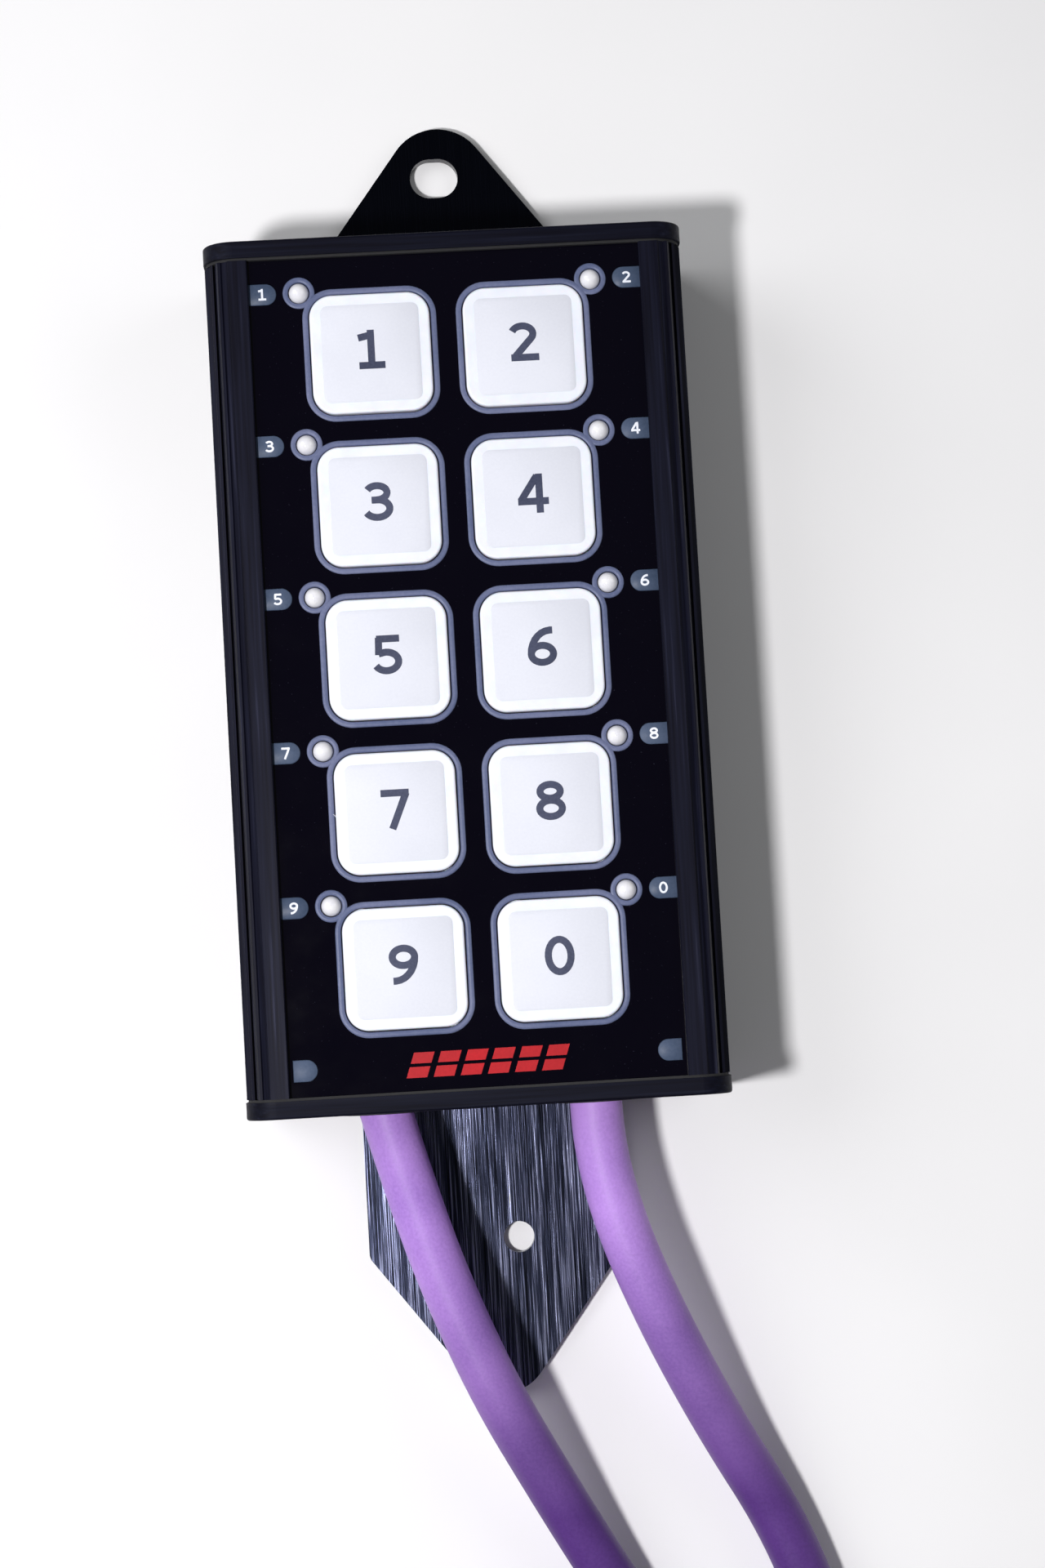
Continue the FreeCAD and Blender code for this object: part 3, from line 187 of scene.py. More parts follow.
class Surface:
    """A procedural material: noise layers in the object's own metres drive its colour, roughness and bump."""

    def __init__(self, name, roughness, **sockets):
        self.material = bpy.data.materials.new(name)
        self.material.use_nodes = True
        self.tree = self.material.node_tree
        self.shader = self.tree.nodes["Principled BSDF"]
        self.shader.inputs["Roughness"].default_value = roughness
        for socket, value in sockets.items():
            self.shader.inputs[socket.replace("_", " ")].default_value = value
        self.place = self.node("ShaderNodeTexCoord").outputs["Object"]
        self.normal = None

    def node(self, kind, **settings):
        made = self.tree.nodes.new(kind)
        for key, value in settings.items():
            setattr(made, key, value)
        return made

    def link(self, source, target):
        self.tree.links.new(source, target)

    def noise(self, grain, stretch=EVEN, detail=3.0, distortion=0.0):
        """Noise whose features are about one grain across, in metres."""
        mapping = self.node("ShaderNodeMapping")
        mapping.inputs["Scale"].default_value = stretch
        self.link(self.place, mapping.inputs["Vector"])
        noise = self.node("ShaderNodeTexNoise")
        noise.inputs["Scale"].default_value = 1.0 / grain
        noise.inputs["Detail"].default_value = detail
        noise.inputs["Distortion"].default_value = distortion
        self.link(mapping.outputs["Vector"], noise.inputs["Vector"])
        return noise.outputs["Fac"]

    def ranged(self, value, low, high, to_low, to_high):
        """The value's range low..high laid onto to_low..to_high, and held there beyond it."""
        remap = self.node("ShaderNodeMapRange")
        for socket, number in zip(("From Min", "From Max", "To Min", "To Max"), (low, high, to_low, to_high)):
            remap.inputs[socket].default_value = number
        self.link(value, remap.inputs["Value"])
        return remap.outputs["Result"]

    def math(self, operation, first, second=None):
        made = self.node("ShaderNodeMath", operation=operation)
        for socket, value in zip(made.inputs, (first, second)):
            if isinstance(value, (int, float)):
                socket.default_value = value
            elif value is not None:
                self.link(value, socket)
        return made.outputs["Value"]

    def ramp(self, value, *stops):
        """Colours along a value, as (position, (red, green, blue)) stops."""
        ramp = self.node("ShaderNodeValToRGB")
        elements = ramp.color_ramp.elements
        while len(elements) < len(stops):
            elements.new(0.5)
        for element, (position, colour) in zip(elements, stops):
            element.position = position
            element.color = (*colour, 1.0)
        self.link(value, ramp.inputs["Fac"])
        return ramp.outputs["Color"]

    def mix(self, share, first, second):
        """The first colour where share is 0, the second where it is 1."""
        mix = self.node("ShaderNodeMix", data_type="RGBA")
        for socket, value in ((mix.inputs[0], share), (mix.inputs[6], first), (mix.inputs[7], second)):
            if isinstance(value, tuple):
                socket.default_value = (*value, 1.0)
            elif isinstance(value, (int, float)):
                socket.default_value = value
            else:
                self.link(value, socket)
        return mix.outputs[2]

    def colour(self, value):
        self.link(value, self.shader.inputs["Base Color"])
        return self

    def rough(self, value, low, high):
        """Roughness that follows a noise from low to high."""
        varied = self.ranged(value, NOISE_LOW, NOISE_HIGH, low, high)
        self.link(varied, self.shader.inputs["Roughness"])
        return self

    def bump(self, value, height):
        """Adds relief of that height in metres to what is there."""
        bump = self.node("ShaderNodeBump")
        bump.inputs["Distance"].default_value = height
        self.link(value, bump.inputs["Height"])
        if self.normal is not None:
            self.link(self.normal, bump.inputs["Normal"])
        self.normal = bump.outputs["Normal"]
        self.link(self.normal, self.shader.inputs["Normal"])
        return self


def anodised(name, stretch, dark, light, streak, low, high):
    """Black anodised aluminium: fine drawn lines over a slow variation of tone."""
    surface = Surface(name, 0.4, Metallic=0.2, Specular_IOR_Level=0.12)
    lines = surface.noise(0.0005, stretch)
    slow = surface.noise(0.03, detail=2.0)
    base = surface.ramp(lines, (0.35, dark), (0.62, light), (0.78, streak))
    surface.colour(surface.mix(surface.ranged(slow, 0.35, 0.7, 0.0, 0.4), base, dark))
    surface.rough(surface.noise(0.0012, stretch), low, high)
    return surface.bump(lines, 0.00001).material


def moulded(name, dark, light, low, high, grain=0.0006, relief=0.000012, **sockets):
    """Moulded plastic or rubber: a fine even grain with a slow tint."""
    surface = Surface(name, (low + high) / 2, **sockets)
    fine = surface.noise(grain, detail=4.0)
    slow = surface.noise(0.012, detail=2.0)
    tint = surface.math("ADD", surface.math("MULTIPLY", fine, 0.35), surface.math("MULTIPLY", slow, 0.65))
    surface.colour(surface.ramp(tint, (0.36, dark), (0.64, light)))
    surface.rough(slow, low, high)
    return surface.bump(fine, relief).material


def plated(name, dark, light, low, high):
    """Bright metal with fine handling marks."""
    surface = Surface(name, (low + high) / 2, Metallic=1.0)
    marks = surface.noise(0.0009, detail=6.0, distortion=1.5)
    surface.colour(surface.ramp(marks, (0.3, dark), (0.6, light)))
    surface.rough(surface.noise(0.004), low, high)
    return surface.bump(marks, 0.000006).material


def brushed_bar():
    """The bracket: black anodising over lengthwise brushing, with a painted highlight of silver fine streaks
    on its tail and painted shade, plain black, on its upper end.
    """
    surface = Surface("bracket_brushed", 0.3, Metallic=0.85)
    hair = surface.noise(0.00018, (1.0, 0.012, 1.0), detail=3.0)
    broad = surface.noise(0.0015, STREAKS_ALONG_Y, detail=2.0)
    depth = surface.math("ADD", surface.math("MULTIPLY", hair, 0.7), surface.math("MULTIPLY", broad, 0.3))
    # The streak colour is a painted highlight: silver where the brushed black metal catches the lamp.
    dark, light, streak = (0.002, 0.003, 0.008), (0.03, 0.036, 0.07), (0.30, 0.32, 0.46)
    parts = surface.node("ShaderNodeSeparateXYZ")
    surface.link(surface.place, parts.inputs["Vector"])
    # Painted shade towards the upper end, which turns plain black; painted highlight in silver streaks
    # towards the tail.
    painted_shade_share = surface.ranged(parts.outputs["Y"], BRACKET_PAINTED_HIGHLIGHT_BELOW_Y, BRACKET_PAINTED_SHADE_ABOVE_Y, 0.0, 1.0)
    grain_and_painted_light = surface.ramp(depth, (0.38, dark), (0.50, light), (0.66, streak))
    surface.colour(surface.mix(painted_shade_share, grain_and_painted_light, dark))
    surface.rough(hair, 0.22, 0.3)
    return surface.bump(hair, 0.00003).material


def sheath():
    """The cables' violet jacket: satin, finely pebbled, with painted light making it lighter near the box and
    painted shade making it darker further down.
    """
    surface = Surface("cable_sheath", 0.5, Specular_IOR_Level=0.3)
    pebbles = surface.noise(0.00045, detail=4.0)
    slow = surface.noise(0.02, detail=2.0)
    tone = surface.math("ADD", surface.math("MULTIPLY", pebbles, 0.3), surface.math("MULTIPLY", slow, 0.7))
    # Painted light: the light colours near the box and the dark colours further down stand in for the lamp's
    # fall-off.
    grain_and_painted_light = surface.ramp(tone, (0.36, (0.34, 0.18, 0.58)), (0.64, (0.52, 0.29, 0.78)))
    painted_shade_tone = surface.ramp(tone, (0.36, (0.075, 0.028, 0.17)), (0.64, (0.12, 0.046, 0.25)))
    parts = surface.node("ShaderNodeSeparateXYZ")
    surface.link(surface.place, parts.inputs["Vector"])
    painted_light_share = surface.ranged(parts.outputs["Y"], CABLE_PAINTED_SHADE_BELOW_Y, CABLE_PAINTED_LIGHT_ABOVE_Y, 0.0, 1.0)
    surface.colour(surface.mix(painted_light_share, painted_shade_tone, grain_and_painted_light))
    surface.rough(pebbles, 0.42, 0.56)
    surface.bump(slow, 0.0003)
    return surface.bump(pebbles, 0.00003).material


def face_film():
    """Glossy black film over the face, with faint dust and a slight ripple."""
    surface = Surface("face_film", 0.08, Specular_IOR_Level=0.2)
    dust = surface.noise(0.00035, detail=8.0)
    slow = surface.noise(0.02, detail=1.0)
    surface.colour(surface.ramp(dust, (0.68, (0.0012, 0.0008, 0.004)), (0.8, (0.03, 0.03, 0.05))))
    surface.rough(surface.noise(0.006), 0.05, 0.14)
    return surface.bump(slow, 0.00004).material


def key_film():
    """The white film of the keys: bright, satin, with a barely seen mottle."""
    surface = Surface("key_film", 0.4, Subsurface_Weight=0.15, Subsurface_Scale=0.0015)
    mottle = surface.noise(0.003, detail=4.0)
    surface.colour(surface.ramp(mottle, (0.35, (0.86, 0.88, 0.97)), (0.65, (0.90, 0.92, 1.0))))
    surface.rough(mottle, 0.35, 0.5)
    return surface.bump(surface.noise(0.0005), 0.000008).material


def woven(name, dark, light, pitch):
    """Hook and loop strap: a plain weave with loose fibres."""
    surface = Surface(name, 0.85, Sheen_Weight=0.3)
    waves = []
    parts = surface.node("ShaderNodeSeparateXYZ")
    surface.link(surface.place, parts.inputs["Vector"])
    for axis in ("X", "Y", "Z"):
        turns = surface.math("MULTIPLY", parts.outputs[axis], 2 * math.pi / pitch)
        waves.append(surface.math("SINE", turns))
    weave = surface.math("MULTIPLY", waves[0], waves[1])
    weave = surface.math("ADD", weave, surface.math("MULTIPLY", waves[2], 0.5))
    fibres = surface.noise(0.0003, detail=6.0)
    height = surface.math("ADD", surface.math("MULTIPLY", weave, 0.25), fibres)
    surface.colour(surface.ramp(height, (0.2, dark), (0.8, light)))
    return surface.bump(height, 0.0001).material


def lens_plastic():
    """Milky light pipes with a clear gloss."""
    surface = Surface("lens_clear", 0.12, Transmission_Weight=0.08, IOR=1.49,
                      Coat_Weight=0.7, Coat_Roughness=0.03)
    cloud = surface.noise(0.0012, detail=3.0)
    surface.colour(surface.ramp(cloud, (0.3, (0.90, 0.90, 0.96)), (0.7, (0.98, 0.98, 1.0))))
    surface.rough(cloud, 0.04, 0.12)
    return surface.bump(cloud, 0.00002).material


def board_laminate():
    """Green solder mask over a grid of slightly raised lighter tracks."""
    surface = Surface("board_laminate", 0.35, Coat_Weight=0.3)
    tracks = surface.node("ShaderNodeTexBrick")
    tracks.inputs["Scale"].default_value = TRACKS_PER_METRE
    tracks.inputs["Mortar Size"].default_value = 0.06
    surface.link(surface.place, tracks.inputs["Vector"])
    weave = surface.noise(0.0006)
    green = surface.ramp(weave, (0.35, (0.006, 0.05, 0.02)), (0.65, (0.01, 0.075, 0.03)))
    over_track = surface.math("MULTIPLY", tracks.outputs["Fac"], 0.5)
    surface.colour(surface.mix(over_track, green, (0.03, 0.16, 0.06)))
    return surface.bump(tracks.outputs["Fac"], 0.00003).material


finishes = {
    "housing": anodised("housing_anodised", STREAKS_ALONG_Y, (0.003, 0.003, 0.009), (0.008, 0.009, 0.022),
                        (0.03, 0.032, 0.06), 0.42, 0.56),
    "end_plate": anodised("plate_anodised", STREAKS_ALONG_X, (0.002, 0.002, 0.007), (0.005, 0.006, 0.016),
                          (0.02, 0.022, 0.04), 0.48, 0.62),
    "gasket": moulded("gasket_rubber", (0.008, 0.008, 0.009), (0.016, 0.016, 0.018), 0.7, 0.85),
    "screw": plated("screw_blackened", (0.02, 0.02, 0.024), (0.07, 0.07, 0.08), 0.28, 0.45),
    "bracket": brushed_bar(),
    "panel": moulded("panel_plastic", (0.01, 0.01, 0.012), (0.02, 0.02, 0.024), 0.45, 0.6),
    "seal_mat": moulded("mat_silicone", (0.055, 0.062, 0.10), (0.09, 0.10, 0.15), 0.5, 0.65),
    "legend": moulded("strip_print", (0.04, 0.055, 0.09), (0.06, 0.08, 0.12), 0.4, 0.55),
    "overlay": face_film(),
    "key": key_film(),
    "plunger": moulded("plunger_plastic", (0.55, 0.55, 0.56), (0.68, 0.68, 0.68), 0.4, 0.55),
    "switch": moulded("switch_housing", (0.012, 0.012, 0.014), (0.025, 0.025, 0.028), 0.45, 0.6),
    "contact": plated("contact_gold", (0.75, 0.48, 0.14), (0.98, 0.74, 0.32), 0.14, 0.28),
    "lens": lens_plastic(),
    "light": moulded("light_package", (0.72, 0.70, 0.60), (0.9, 0.88, 0.76), 0.3, 0.45),
    "board": board_laminate(),
    "component": moulded("component_epoxy", (0.01, 0.01, 0.011), (0.03, 0.03, 0.032), 0.5, 0.7),
    "terminal": moulded("terminal_green", (0.008, 0.16, 0.05), (0.015, 0.26, 0.085), 0.4, 0.55),
    "core": moulded("core_insulation", (0.30, 0.05, 0.03), (0.48, 0.09, 0.05), 0.4, 0.55),
    "clamp": moulded("clamp_nylon", (0.014, 0.014, 0.016), (0.03, 0.03, 0.033), 0.5, 0.65),
    "grommet": moulded("grommet_rubber", (0.006, 0.006, 0.007), (0.014, 0.014, 0.015), 0.65, 0.8),
    "cable": sheath(),
    "tie": woven("tie_fabric", (0.01, 0.01, 0.012), (0.05, 0.05, 0.055), 0.0014),
    "connector": moulded("connector_body", (0.010, 0.010, 0.012), (0.024, 0.024, 0.027), 0.42, 0.6,
                         relief=0.00003),
    "coupling": plated("coupling_nickel", (0.42, 0.41, 0.38), (0.72, 0.70, 0.66), 0.2, 0.36),
}

for subpart in frame["record"]["subparts"]:
    for material_slot in nodes[subpart["node"]].material_slots:
        material_slot.material = finishes[subpart["material_slot"]]
for cable in cables:
    cable.data.materials.append(finishes["cable"])


def print_ink(name, dark, light, low=0.5, high=0.65):
    """Printed ink or film: moulded plastic with a finer grain and a weaker shine."""
    return moulded(name, dark, light, low, high, grain=0.0004, relief=0.000006, Specular_IOR_Level=0.25)


key_ink = print_ink("key_ink", (0.04, 0.048, 0.09), (0.08, 0.09, 0.15))
label_film = print_ink("label_film", (0.72, 0.74, 0.81), (0.77, 0.79, 0.86), 0.6, 0.75)
frame_film = print_ink("frame_film", (0.10, 0.125, 0.23), (0.16, 0.18, 0.30), 0.35, 0.5)
window_film = print_ink("window_film", (0.05, 0.075, 0.13), (0.08, 0.11, 0.18), 0.4, 0.55)
digit_ink = print_ink("digit_ink", (0.80, 0.84, 0.92), (0.92, 0.94, 1.0))
mark_ink = print_ink("mark_ink", (0.42, 0.004, 0.010), (0.56, 0.008, 0.016))
scratch_white = print_ink("scratch_white", (0.35, 0.38, 0.46), (0.65, 0.68, 0.76))

# ---- mesh building ----
CIRCLE_STEPS = 48
CORNER_STEPS = 12
ARC_STEP_DEG = 12
SHARP_ABOVE_DEG = 50


def piece(name, mesh, material, body):
    """An extra piece of the looks that rides on a body and takes that material."""
    made = bpy.data.objects.new(name, mesh)
    bpy.context.scene.collection.objects.link(made)
    made.data.materials.append(material)
    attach(made, body)
    return made


def skin(rings, closed):
    """Points and faces through rings of as many points each: capped at both ends, or closed like a tyre."""
    count = len(rings[0])
    points = [point for ring in rings for point in ring]
    faces = []
    spans = len(rings) if closed else len(rings) - 1
    for span in range(spans):
        here = span * count
        there = (span + 1) % len(rings) * count
        for step in range(count):
            after = (step + 1) % count
            faces.append((here + step, here + after, there + after, there + step))
    if not closed:
        faces.append(tuple(reversed(range(count))))
        faces.append(tuple(range(len(points) - count, len(points))))
    return points, faces


def loft(name, rings, closed=False, smooth=True):
    """The mesh through those rings, smooth but for its sharp edges."""
    mesh = bpy.data.meshes.new(name)
    points, faces = skin(rings, closed)
    mesh.from_pydata(points, [], faces)
    if smooth:
        mesh.shade_smooth()
        mesh.set_sharp_from_angle(angle=math.radians(SHARP_ABOVE_DEG))
    return mesh


def rounded_square(middle, half, radius, z):
    """Points round a square with rounded corners, anticlockwise."""
    points = []
    for corner in range(4):
        turn = math.radians(90 * corner)
        reach = half - radius
        cx = reach * math.copysign(1, math.cos(turn + math.pi / 4))
        cy = reach * math.copysign(1, math.sin(turn + math.pi / 4))
        for step in range(CORNER_STEPS + 1):
            angle = turn + math.radians(90 * step / CORNER_STEPS)
            x = middle.x + cx + radius * math.cos(angle)
            y = middle.y + cy + radius * math.sin(angle)
            points.append((x, y, z))
    return points


def circle(middle, radius, z):
    """Points round a circle, anticlockwise."""
    points = []
    for step in range(CIRCLE_STEPS):
        angle = 2 * math.pi * step / CIRCLE_STEPS
        points.append((middle.x + radius * math.cos(angle), middle.y + radius * math.sin(angle), z))
    return points


def window_outline(side, inner_x, outer_x, y, half, z):
    """A window's edge: round at inner_x, straight at outer_x, mirrored where side is -1."""
    centre_x = inner_x + half
    angles = [math.radians(90 + 180 * step / CIRCLE_STEPS) for step in range(CIRCLE_STEPS + 1)]
    corners = [(centre_x + half * math.cos(angle), y + half * math.sin(angle)) for angle in angles]
    corners += [(outer_x, y - half), (outer_x, y + half)]
    points = [(side * corner_x, corner_y, z) for corner_x, corner_y in corners]
    return points if side > 0 else points[::-1]


def arc(x, y, width, height, start_deg, end_deg):
    """Points along part of an ellipse of those half sizes."""
    steps = max(2, round(abs(end_deg - start_deg) / ARC_STEP_DEG))
    angles = [math.radians(start_deg + (end_deg - start_deg) * step / steps) for step in range(steps + 1)]
    return [(x + width * math.cos(angle), y + height * math.sin(angle)) for angle in angles]


# Middle lines of each digit's strokes, in a box 1 tall and DIGIT_WIDTH wide; a stroke that ends where it
# starts is a loop. STROKE is a stroke's width in that box, and INK is how far print stands up.
STROKE = 0.18
DIGIT_WIDTH = 0.76
INK = 0.02 * MM
SIX = (arc(0.39, 0.31, 0.28, 0.215, 0, 360), arc(0.62, 0.31, 0.51, 0.595, 180, 92) + [(0.67, 0.905)])
DIGITS = {
    "0": (arc(0.38, 0.5, 0.285, 0.405, 0, 360),),
    "1": ([(0.40, 0.0), (0.40, 1.0)], [(0.08, 0.09), (0.74, 0.09)], [(0.08, 0.80), (0.36, 0.86)]),
    "2": (arc(0.35, 0.70, 0.27, 0.205, 160, -35) + [(0.15, 0.13)], [(0.04, 0.095), (0.75, 0.095)]),
    "3": (arc(0.34, 0.725, 0.26, 0.18, 155, -90), arc(0.34, 0.32, 0.31, 0.225, 90, -155),
          [(0.20, 0.54), (0.38, 0.54)]),
    "4": ([(0.55, 0.0), (0.55, 1.0)], [(0.0, 0.30), (0.78, 0.30)], [(0.07, 0.32), (0.50, 0.95)]),
    "5": ([(0.12, 0.905), (0.70, 0.905)], [(0.18, 0.94), (0.165, 0.50)],
          [(0.165, 0.53)] + arc(0.36, 0.33, 0.30, 0.235, 115, -155)),
    "6": SIX,
    "7": ([(0.02, 0.905), (0.73, 0.905)], [(0.66, 0.90), (0.28, 0.0)]),
    "8": (arc(0.38, 0.73, 0.255, 0.175, 0, 360), arc(0.38, 0.30, 0.285, 0.205, 0, 360)),
    "9": tuple([(DIGIT_WIDTH - x, 1 - y) for x, y in stroke] for stroke in SIX),
}


def ribbon(line):
    """Whether a stroke is a loop, and its two edges on either side of the middle line."""
    loop = math.dist(line[0], line[-1]) < STROKE / 10
    points = [Vector(point) for point in (line[:-1] if loop else line)]
    edges = ([], [])
    for number, point in enumerate(points):
        before = points[number - 1] if loop or number else point
        after = points[(number + 1) % len(points)] if loop or number < len(points) - 1 else point
        along = (after - before).normalized()
        across = Vector((-along.y, along.x)) * STROKE / 2
        edges[0].append(point + across)
        edges[1].append(point - across)
    return loop, edges


def placed(edge, height, middle, z):
    """An edge of a stroke at its real size and place."""
    return [(middle.x + (point.x - DIGIT_WIDTH / 2) * height, middle.y + (point.y - 0.5) * height, z)
            for point in edge]


def digit(name, text, height, middle, z):
    """A raised digit, centred, its underside at z; each stroke stands a hair above the one before."""
    points, faces = [], []
    for number, line in enumerate(DIGITS[text]):
        loop, (left, right) = ribbon(line)
        top = z + INK * (1 + number / 10)
        if loop:
            section = ((left, z), (right, z), (right, top), (left, top))
        else:
            outline = right + left[::-1]
            section = ((outline, z), (outline, top))
        rings = [placed(edge, height, middle, level) for edge, level in section]
        new_points, new_faces = skin(rings, loop)
        faces += [tuple(len(points) + corner for corner in face) for face in new_faces]
        points += new_points
    mesh = bpy.data.meshes.new(name)
    mesh.from_pydata(points, [], faces)
    return mesh


# ---- keys: a raised white label and its digit on each cap, and a grey frame round it ----
LABEL_HALF = 7.35 * MM
LABEL_CORNER = 1.1 * MM
LABEL_RISE = 0.06 * MM
LABEL_EDGE = 0.03 * MM
DIGIT_HEIGHT = 5.9 * MM
DIGIT_SHIFT = Vector((-0.1 * MM, 0.5 * MM, 0.0))
KEY_HALF = 9.0 * MM
KEY_CORNER = 3.4 * MM
OUTLINE_WIDTH = 1.1 * MM
FRAME_GAP = 0.2 * MM
FILM_EDGE = 0.12 * MM
FILM_TOP_Z = OVERLAY_TOP_Z - 0.04 * MM
FIT = 0.03 * MM


def key_label(label, middle):
    top = KEY_TOP_Z + LABEL_RISE
    rings = [rounded_square(middle, LABEL_HALF, LABEL_CORNER, KEY_TOP_Z - LABEL_RISE),
             rounded_square(middle, LABEL_HALF, LABEL_CORNER, top - LABEL_EDGE),
             rounded_square(middle, LABEL_HALF - 2 * LABEL_EDGE, LABEL_CORNER - 2 * LABEL_EDGE, top)]
    piece(f"key_label_{label}", loft(f"key_label_{label}", rings), label_film, f"key_{label}")
    mesh = digit(f"key_digit_{label}", label, DIGIT_HEIGHT, middle + DIGIT_SHIFT, top)
    piece(f"key_digit_{label}", mesh, key_ink, f"key_{label}")


def key_frame(name, middle):
    inner = KEY_HALF + FRAME_GAP
    outer = KEY_HALF + OUTLINE_WIDTH - FIT
    inner_corner = KEY_CORNER + FRAME_GAP
    outer_corner = KEY_CORNER + OUTLINE_WIDTH - FIT
    rings = [rounded_square(middle, inner, inner_corner, STRIP_TOP_Z),
             rounded_square(middle, outer, outer_corner, STRIP_TOP_Z),
             rounded_square(middle, outer, outer_corner, FILM_TOP_Z - FILM_EDGE),
             rounded_square(middle, outer - FILM_EDGE, outer_corner - FILM_EDGE, FILM_TOP_Z),
             rounded_square(middle, inner + FILM_EDGE, inner_corner + FILM_EDGE, FILM_TOP_Z),
             rounded_square(middle, inner, inner_corner, FILM_TOP_Z - FILM_EDGE)]
    piece(name, loft(name, rings, closed=True), frame_film, "root")


for label in KEY_LABELS:
    middle = centre(f"key_cap_{label}")
    key_label(label, middle)
    key_frame(f"key_frame_{label}", middle)

# ---- lights and windows: a grey ring round each light, a window with its number, and two blank windows ----
LENS_X = 21.9 * MM
LENS_RISE_Y = 9.7 * MM
LENS_RADIUS = 1.5 * MM
HALO_RADIUS = 2.45 * MM
WINDOW_HALF = 1.65 * MM
NUMBER_WINDOW_INNER_X = 25.2 * MM
NUMBER_WINDOW_OUTER_X = 30.6 * MM
BLANK_WINDOW_INNER_X = 25.1 * MM
BLANK_WINDOW_OUTER_X = 28.8 * MM
BLANK_WINDOW_Y = -47.9 * MM
SMALL_DIGIT_HEIGHT = 1.75 * MM
SMALL_DIGIT_X = 27.4 * MM
RING_SINK = 0.03 * MM


def window_fill(name, side, inner_x, outer_x, y):
    """The slate film in a window, a hair clear of the window's edge."""
    rings = []
    for inset, z in ((0.0, STRIP_TOP_Z), (0.0, FILM_TOP_Z - FILM_EDGE), (FILM_EDGE, FILM_TOP_Z)):
        half = WINDOW_HALF - FIT - inset
        rings.append(window_outline(side, inner_x + FIT + inset, outer_x - FIT - inset, y, half, z))
    piece(name, loft(name, rings), window_film, "root")


def light_ring(name, middle):
    outer = HALO_RADIUS - FIT
    inner = LENS_RADIUS + 4 * FIT
    top = FILM_TOP_Z - RING_SINK
    rings = [circle(middle, inner, STRIP_TOP_Z), circle(middle, outer, STRIP_TOP_Z),
             circle(middle, outer, top - FILM_EDGE), circle(middle, outer - FILM_EDGE, top),
             circle(middle, inner + FILM_EDGE, top), circle(middle, inner, top - FILM_EDGE)]
    piece(name, loft(name, rings, closed=True), frame_film, "root")


for number, label in enumerate(KEY_LABELS):
    side = -1 if number % 2 == 0 else 1
    y = centre(f"key_cap_{label}").y + LENS_RISE_Y
    light_ring(f"light_ring_{label}", Vector((side * LENS_X, y, 0)))
    window_fill(f"number_window_{label}", side, NUMBER_WINDOW_INNER_X, NUMBER_WINDOW_OUTER_X, y)
    spot = Vector((side * SMALL_DIGIT_X, y, 0))
    mesh = digit(f"number_{label}", label, SMALL_DIGIT_HEIGHT, spot, FILM_TOP_Z)
    piece(f"number_{label}", mesh, digit_ink, "root")
for side, word in ((-1, "left"), (1, "right")):
    window_fill(f"blank_window_{word}", side, BLANK_WINDOW_INNER_X, BLANK_WINDOW_OUTER_X, BLANK_WINDOW_Y)

# ---- fine scratches in the film beside keys 5 and 7, as points in mm ----
SCRATCH_WIDTH = 0.24 * MM
SCRATCH_RISE = 0.01 * MM
SCRATCH_MIDDLE_SHARE, SCRATCH_TIP_SHARE = 0.5, 0.15
SCRATCHES = (
    ((-20.9, -10.3), (-20.2, -11.0), (-19.7, -12.1)),
    ((-20.0, -10.6), (-19.3, -11.2), (-18.9, -12.4)),
    ((-20.4, -11.4), (-19.6, -11.8)),
)


def scratch(name, line):
    """A hair-thin raised burr that narrows towards both ends."""
    left, right = [], []
    for number, (x, y) in enumerate(line):
        inside = 0 < number < len(line) - 1
        half = SCRATCH_WIDTH * (SCRATCH_MIDDLE_SHARE if inside else SCRATCH_TIP_SHARE)
        left.append((x * MM - half, y * MM))
        right.append((x * MM + half, y * MM))
    outline = left + right[::-1]
    levels = (OVERLAY_TOP_Z - SCRATCH_RISE, OVERLAY_TOP_Z + SCRATCH_RISE)
    rings = [[(x, y, level) for x, y in outline] for level in levels]
    piece(name, loft(name, rings, smooth=False), scratch_white, "root")


for number, line in enumerate(SCRATCHES):
    scratch(f"film_scratch_{number + 1}", line)

# ---- a plain red mark below the keys: slanted bars, each cut in two by a slit ----
MARK_MIDDLE = Vector((0.0, -48.0 * MM, 0.0))
MARK_WIDTH = 24.0 * MM
MARK_HEIGHT = 3.7 * MM
MARK_BARS = 6
MARK_PITCH = MARK_WIDTH / MARK_BARS
MARK_GAP_SHARE, MARK_BAR_SHARE = 0.12, 0.76
MARK_SLANT = 0.35
MARK_SLIT = 0.5 * MM
MARK_HALVES = (("low", -MARK_HEIGHT / 2, -MARK_SLIT / 2), ("high", MARK_SLIT / 2, MARK_HEIGHT / 2))


def slanted_bar(x0, x1, y0, y1):
    """One half of a bar that leans to the right, as two rings of corners."""
    rings = []
    for z in (OVERLAY_TOP_Z - INK, OVERLAY_TOP_Z + INK):
        corners = ((x0, y0), (x1, y0), (x1, y1), (x0, y1))
        rings.append([(x + (y - MARK_MIDDLE.y) * MARK_SLANT, y, z) for x, y in corners])
    return rings


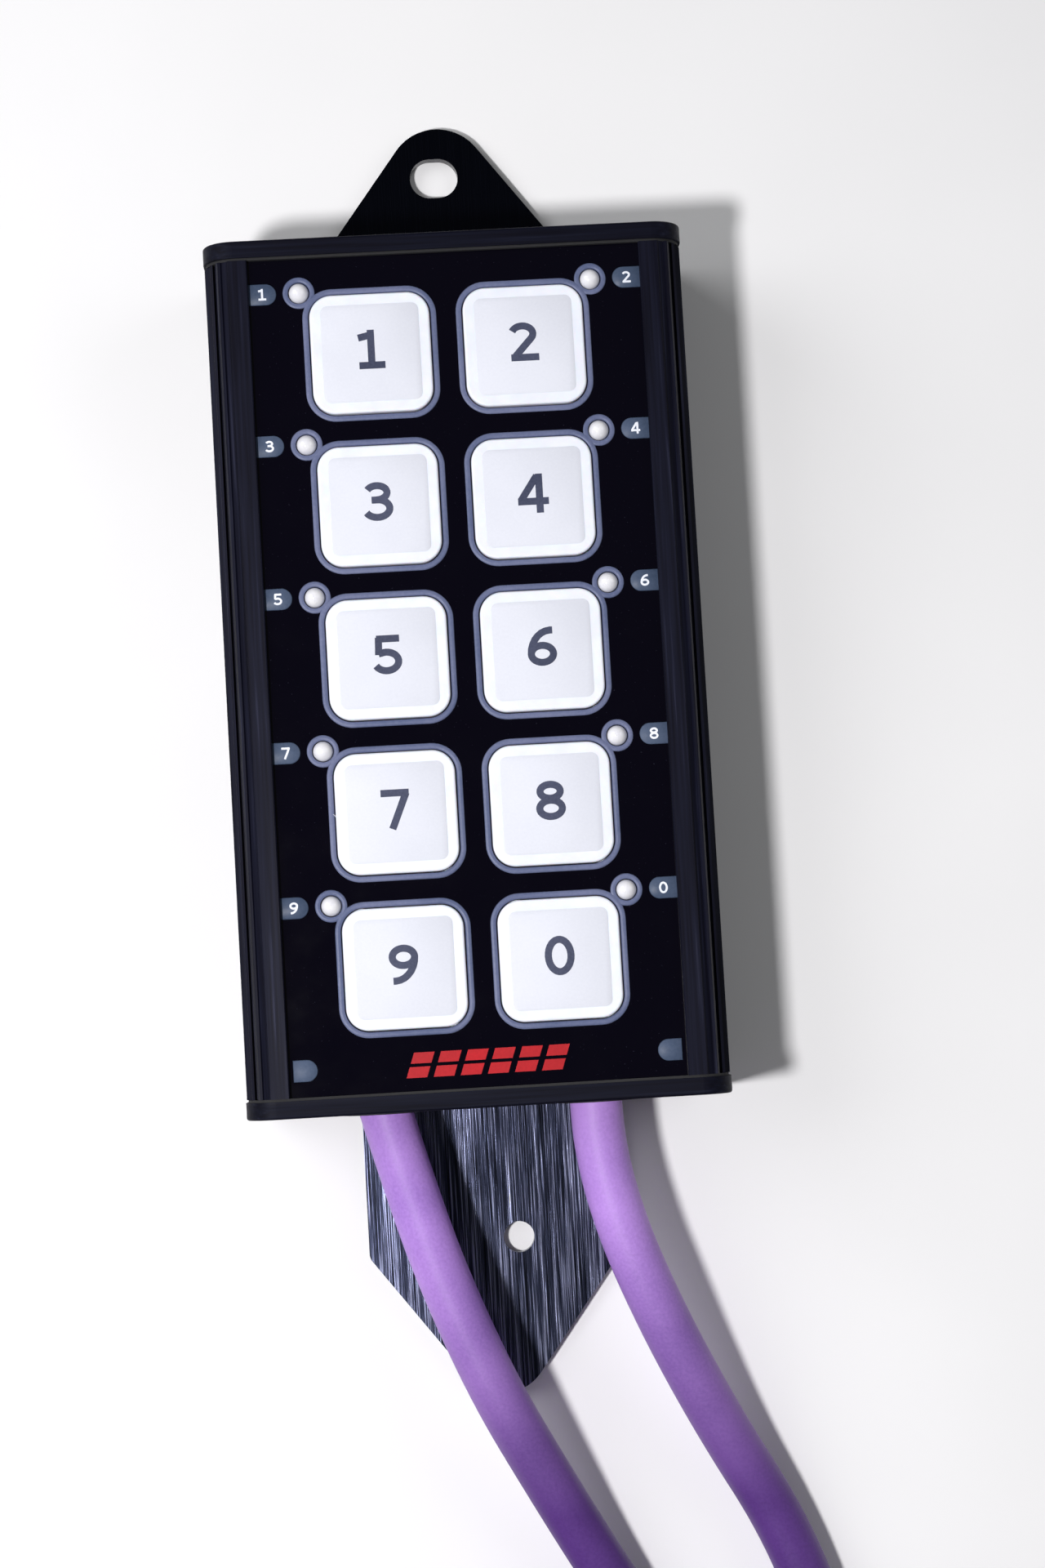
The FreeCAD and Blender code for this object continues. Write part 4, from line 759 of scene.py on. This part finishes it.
for count in range(MARK_BARS):
    x0 = MARK_MIDDLE.x - MARK_WIDTH / 2 + MARK_PITCH * count + MARK_PITCH * MARK_GAP_SHARE
    x1 = x0 + MARK_PITCH * MARK_BAR_SHARE
    for half, y0, y1 in MARK_HALVES:
        name = f"mark_{count + 1}_{half}"
        rings = slanted_bar(x0, x1, MARK_MIDDLE.y + y0, MARK_MIDDLE.y + y1)
        piece(name, loft(name, rings, smooth=False), mark_ink, "root")

# ---- stage, lights and the end: light sizes in metres, powers in watts ----
FLOOR_SIZE = 3.0
FLOOR_DROP = 0.0002
FACE_MIDDLE = (0.0, -0.04, 0.0)
ORIGIN = (0.0, 0.0, 0.0)
WORLD_STRENGTH = 0.12


def stage_floor():
    half = FLOOR_SIZE / 2
    mesh = bpy.data.meshes.new("floor")
    corners = [(-half, -half, 0), (half, -half, 0), (half, half, 0), (-half, half, 0)]
    mesh.from_pydata(corners, [], [(0, 1, 2, 3)])
    surface = Surface("floor_paper", 0.9, Specular_IOR_Level=0.1)
    tone = surface.noise(0.05, detail=2.0)
    surface.colour(surface.ramp(tone, (0.3, (0.95, 0.95, 0.95)), (0.7, (0.98, 0.98, 0.98))))
    mesh.materials.append(surface.material)
    floor = bpy.data.objects.new("floor", mesh)
    floor.location.z = -FLOOR_DROP
    bpy.context.scene.collection.objects.link(floor)


def area_light(name, place, target, size, power, colour):
    """A round lamp at place that faces target."""
    data = bpy.data.lights.new(name, "AREA")
    data.shape = "DISK"
    data.size = size
    data.energy = power
    data.color = colour
    light = bpy.data.objects.new(name, data)
    light.location = place
    light.rotation_euler = (Vector(target) - Vector(place)).to_track_quat("-Z", "Y").to_euler()
    bpy.context.scene.collection.objects.link(light)


stage_floor()
area_light("key_light", (-0.175, -0.085, 0.48), FACE_MIDDLE, 0.05, 2.0, (1.0, 0.985, 1.0))
area_light("fill_right", (0.85, 0.25, 0.75), ORIGIN, 0.8, 1.6, (0.96, 0.97, 1.0))
area_light("fill_left", (-0.85, 0.35, 0.75), ORIGIN, 0.8, 4.6, (0.98, 0.98, 1.0))

world = bpy.data.worlds.new("studio")
world.use_nodes = True
background = world.node_tree.nodes["Background"]
background.inputs["Color"].default_value = (1.0, 1.0, 1.0, 1.0)
background.inputs["Strength"].default_value = WORLD_STRENGTH
bpy.context.scene.world = world
bpy.context.scene.view_settings.view_transform = "Standard"
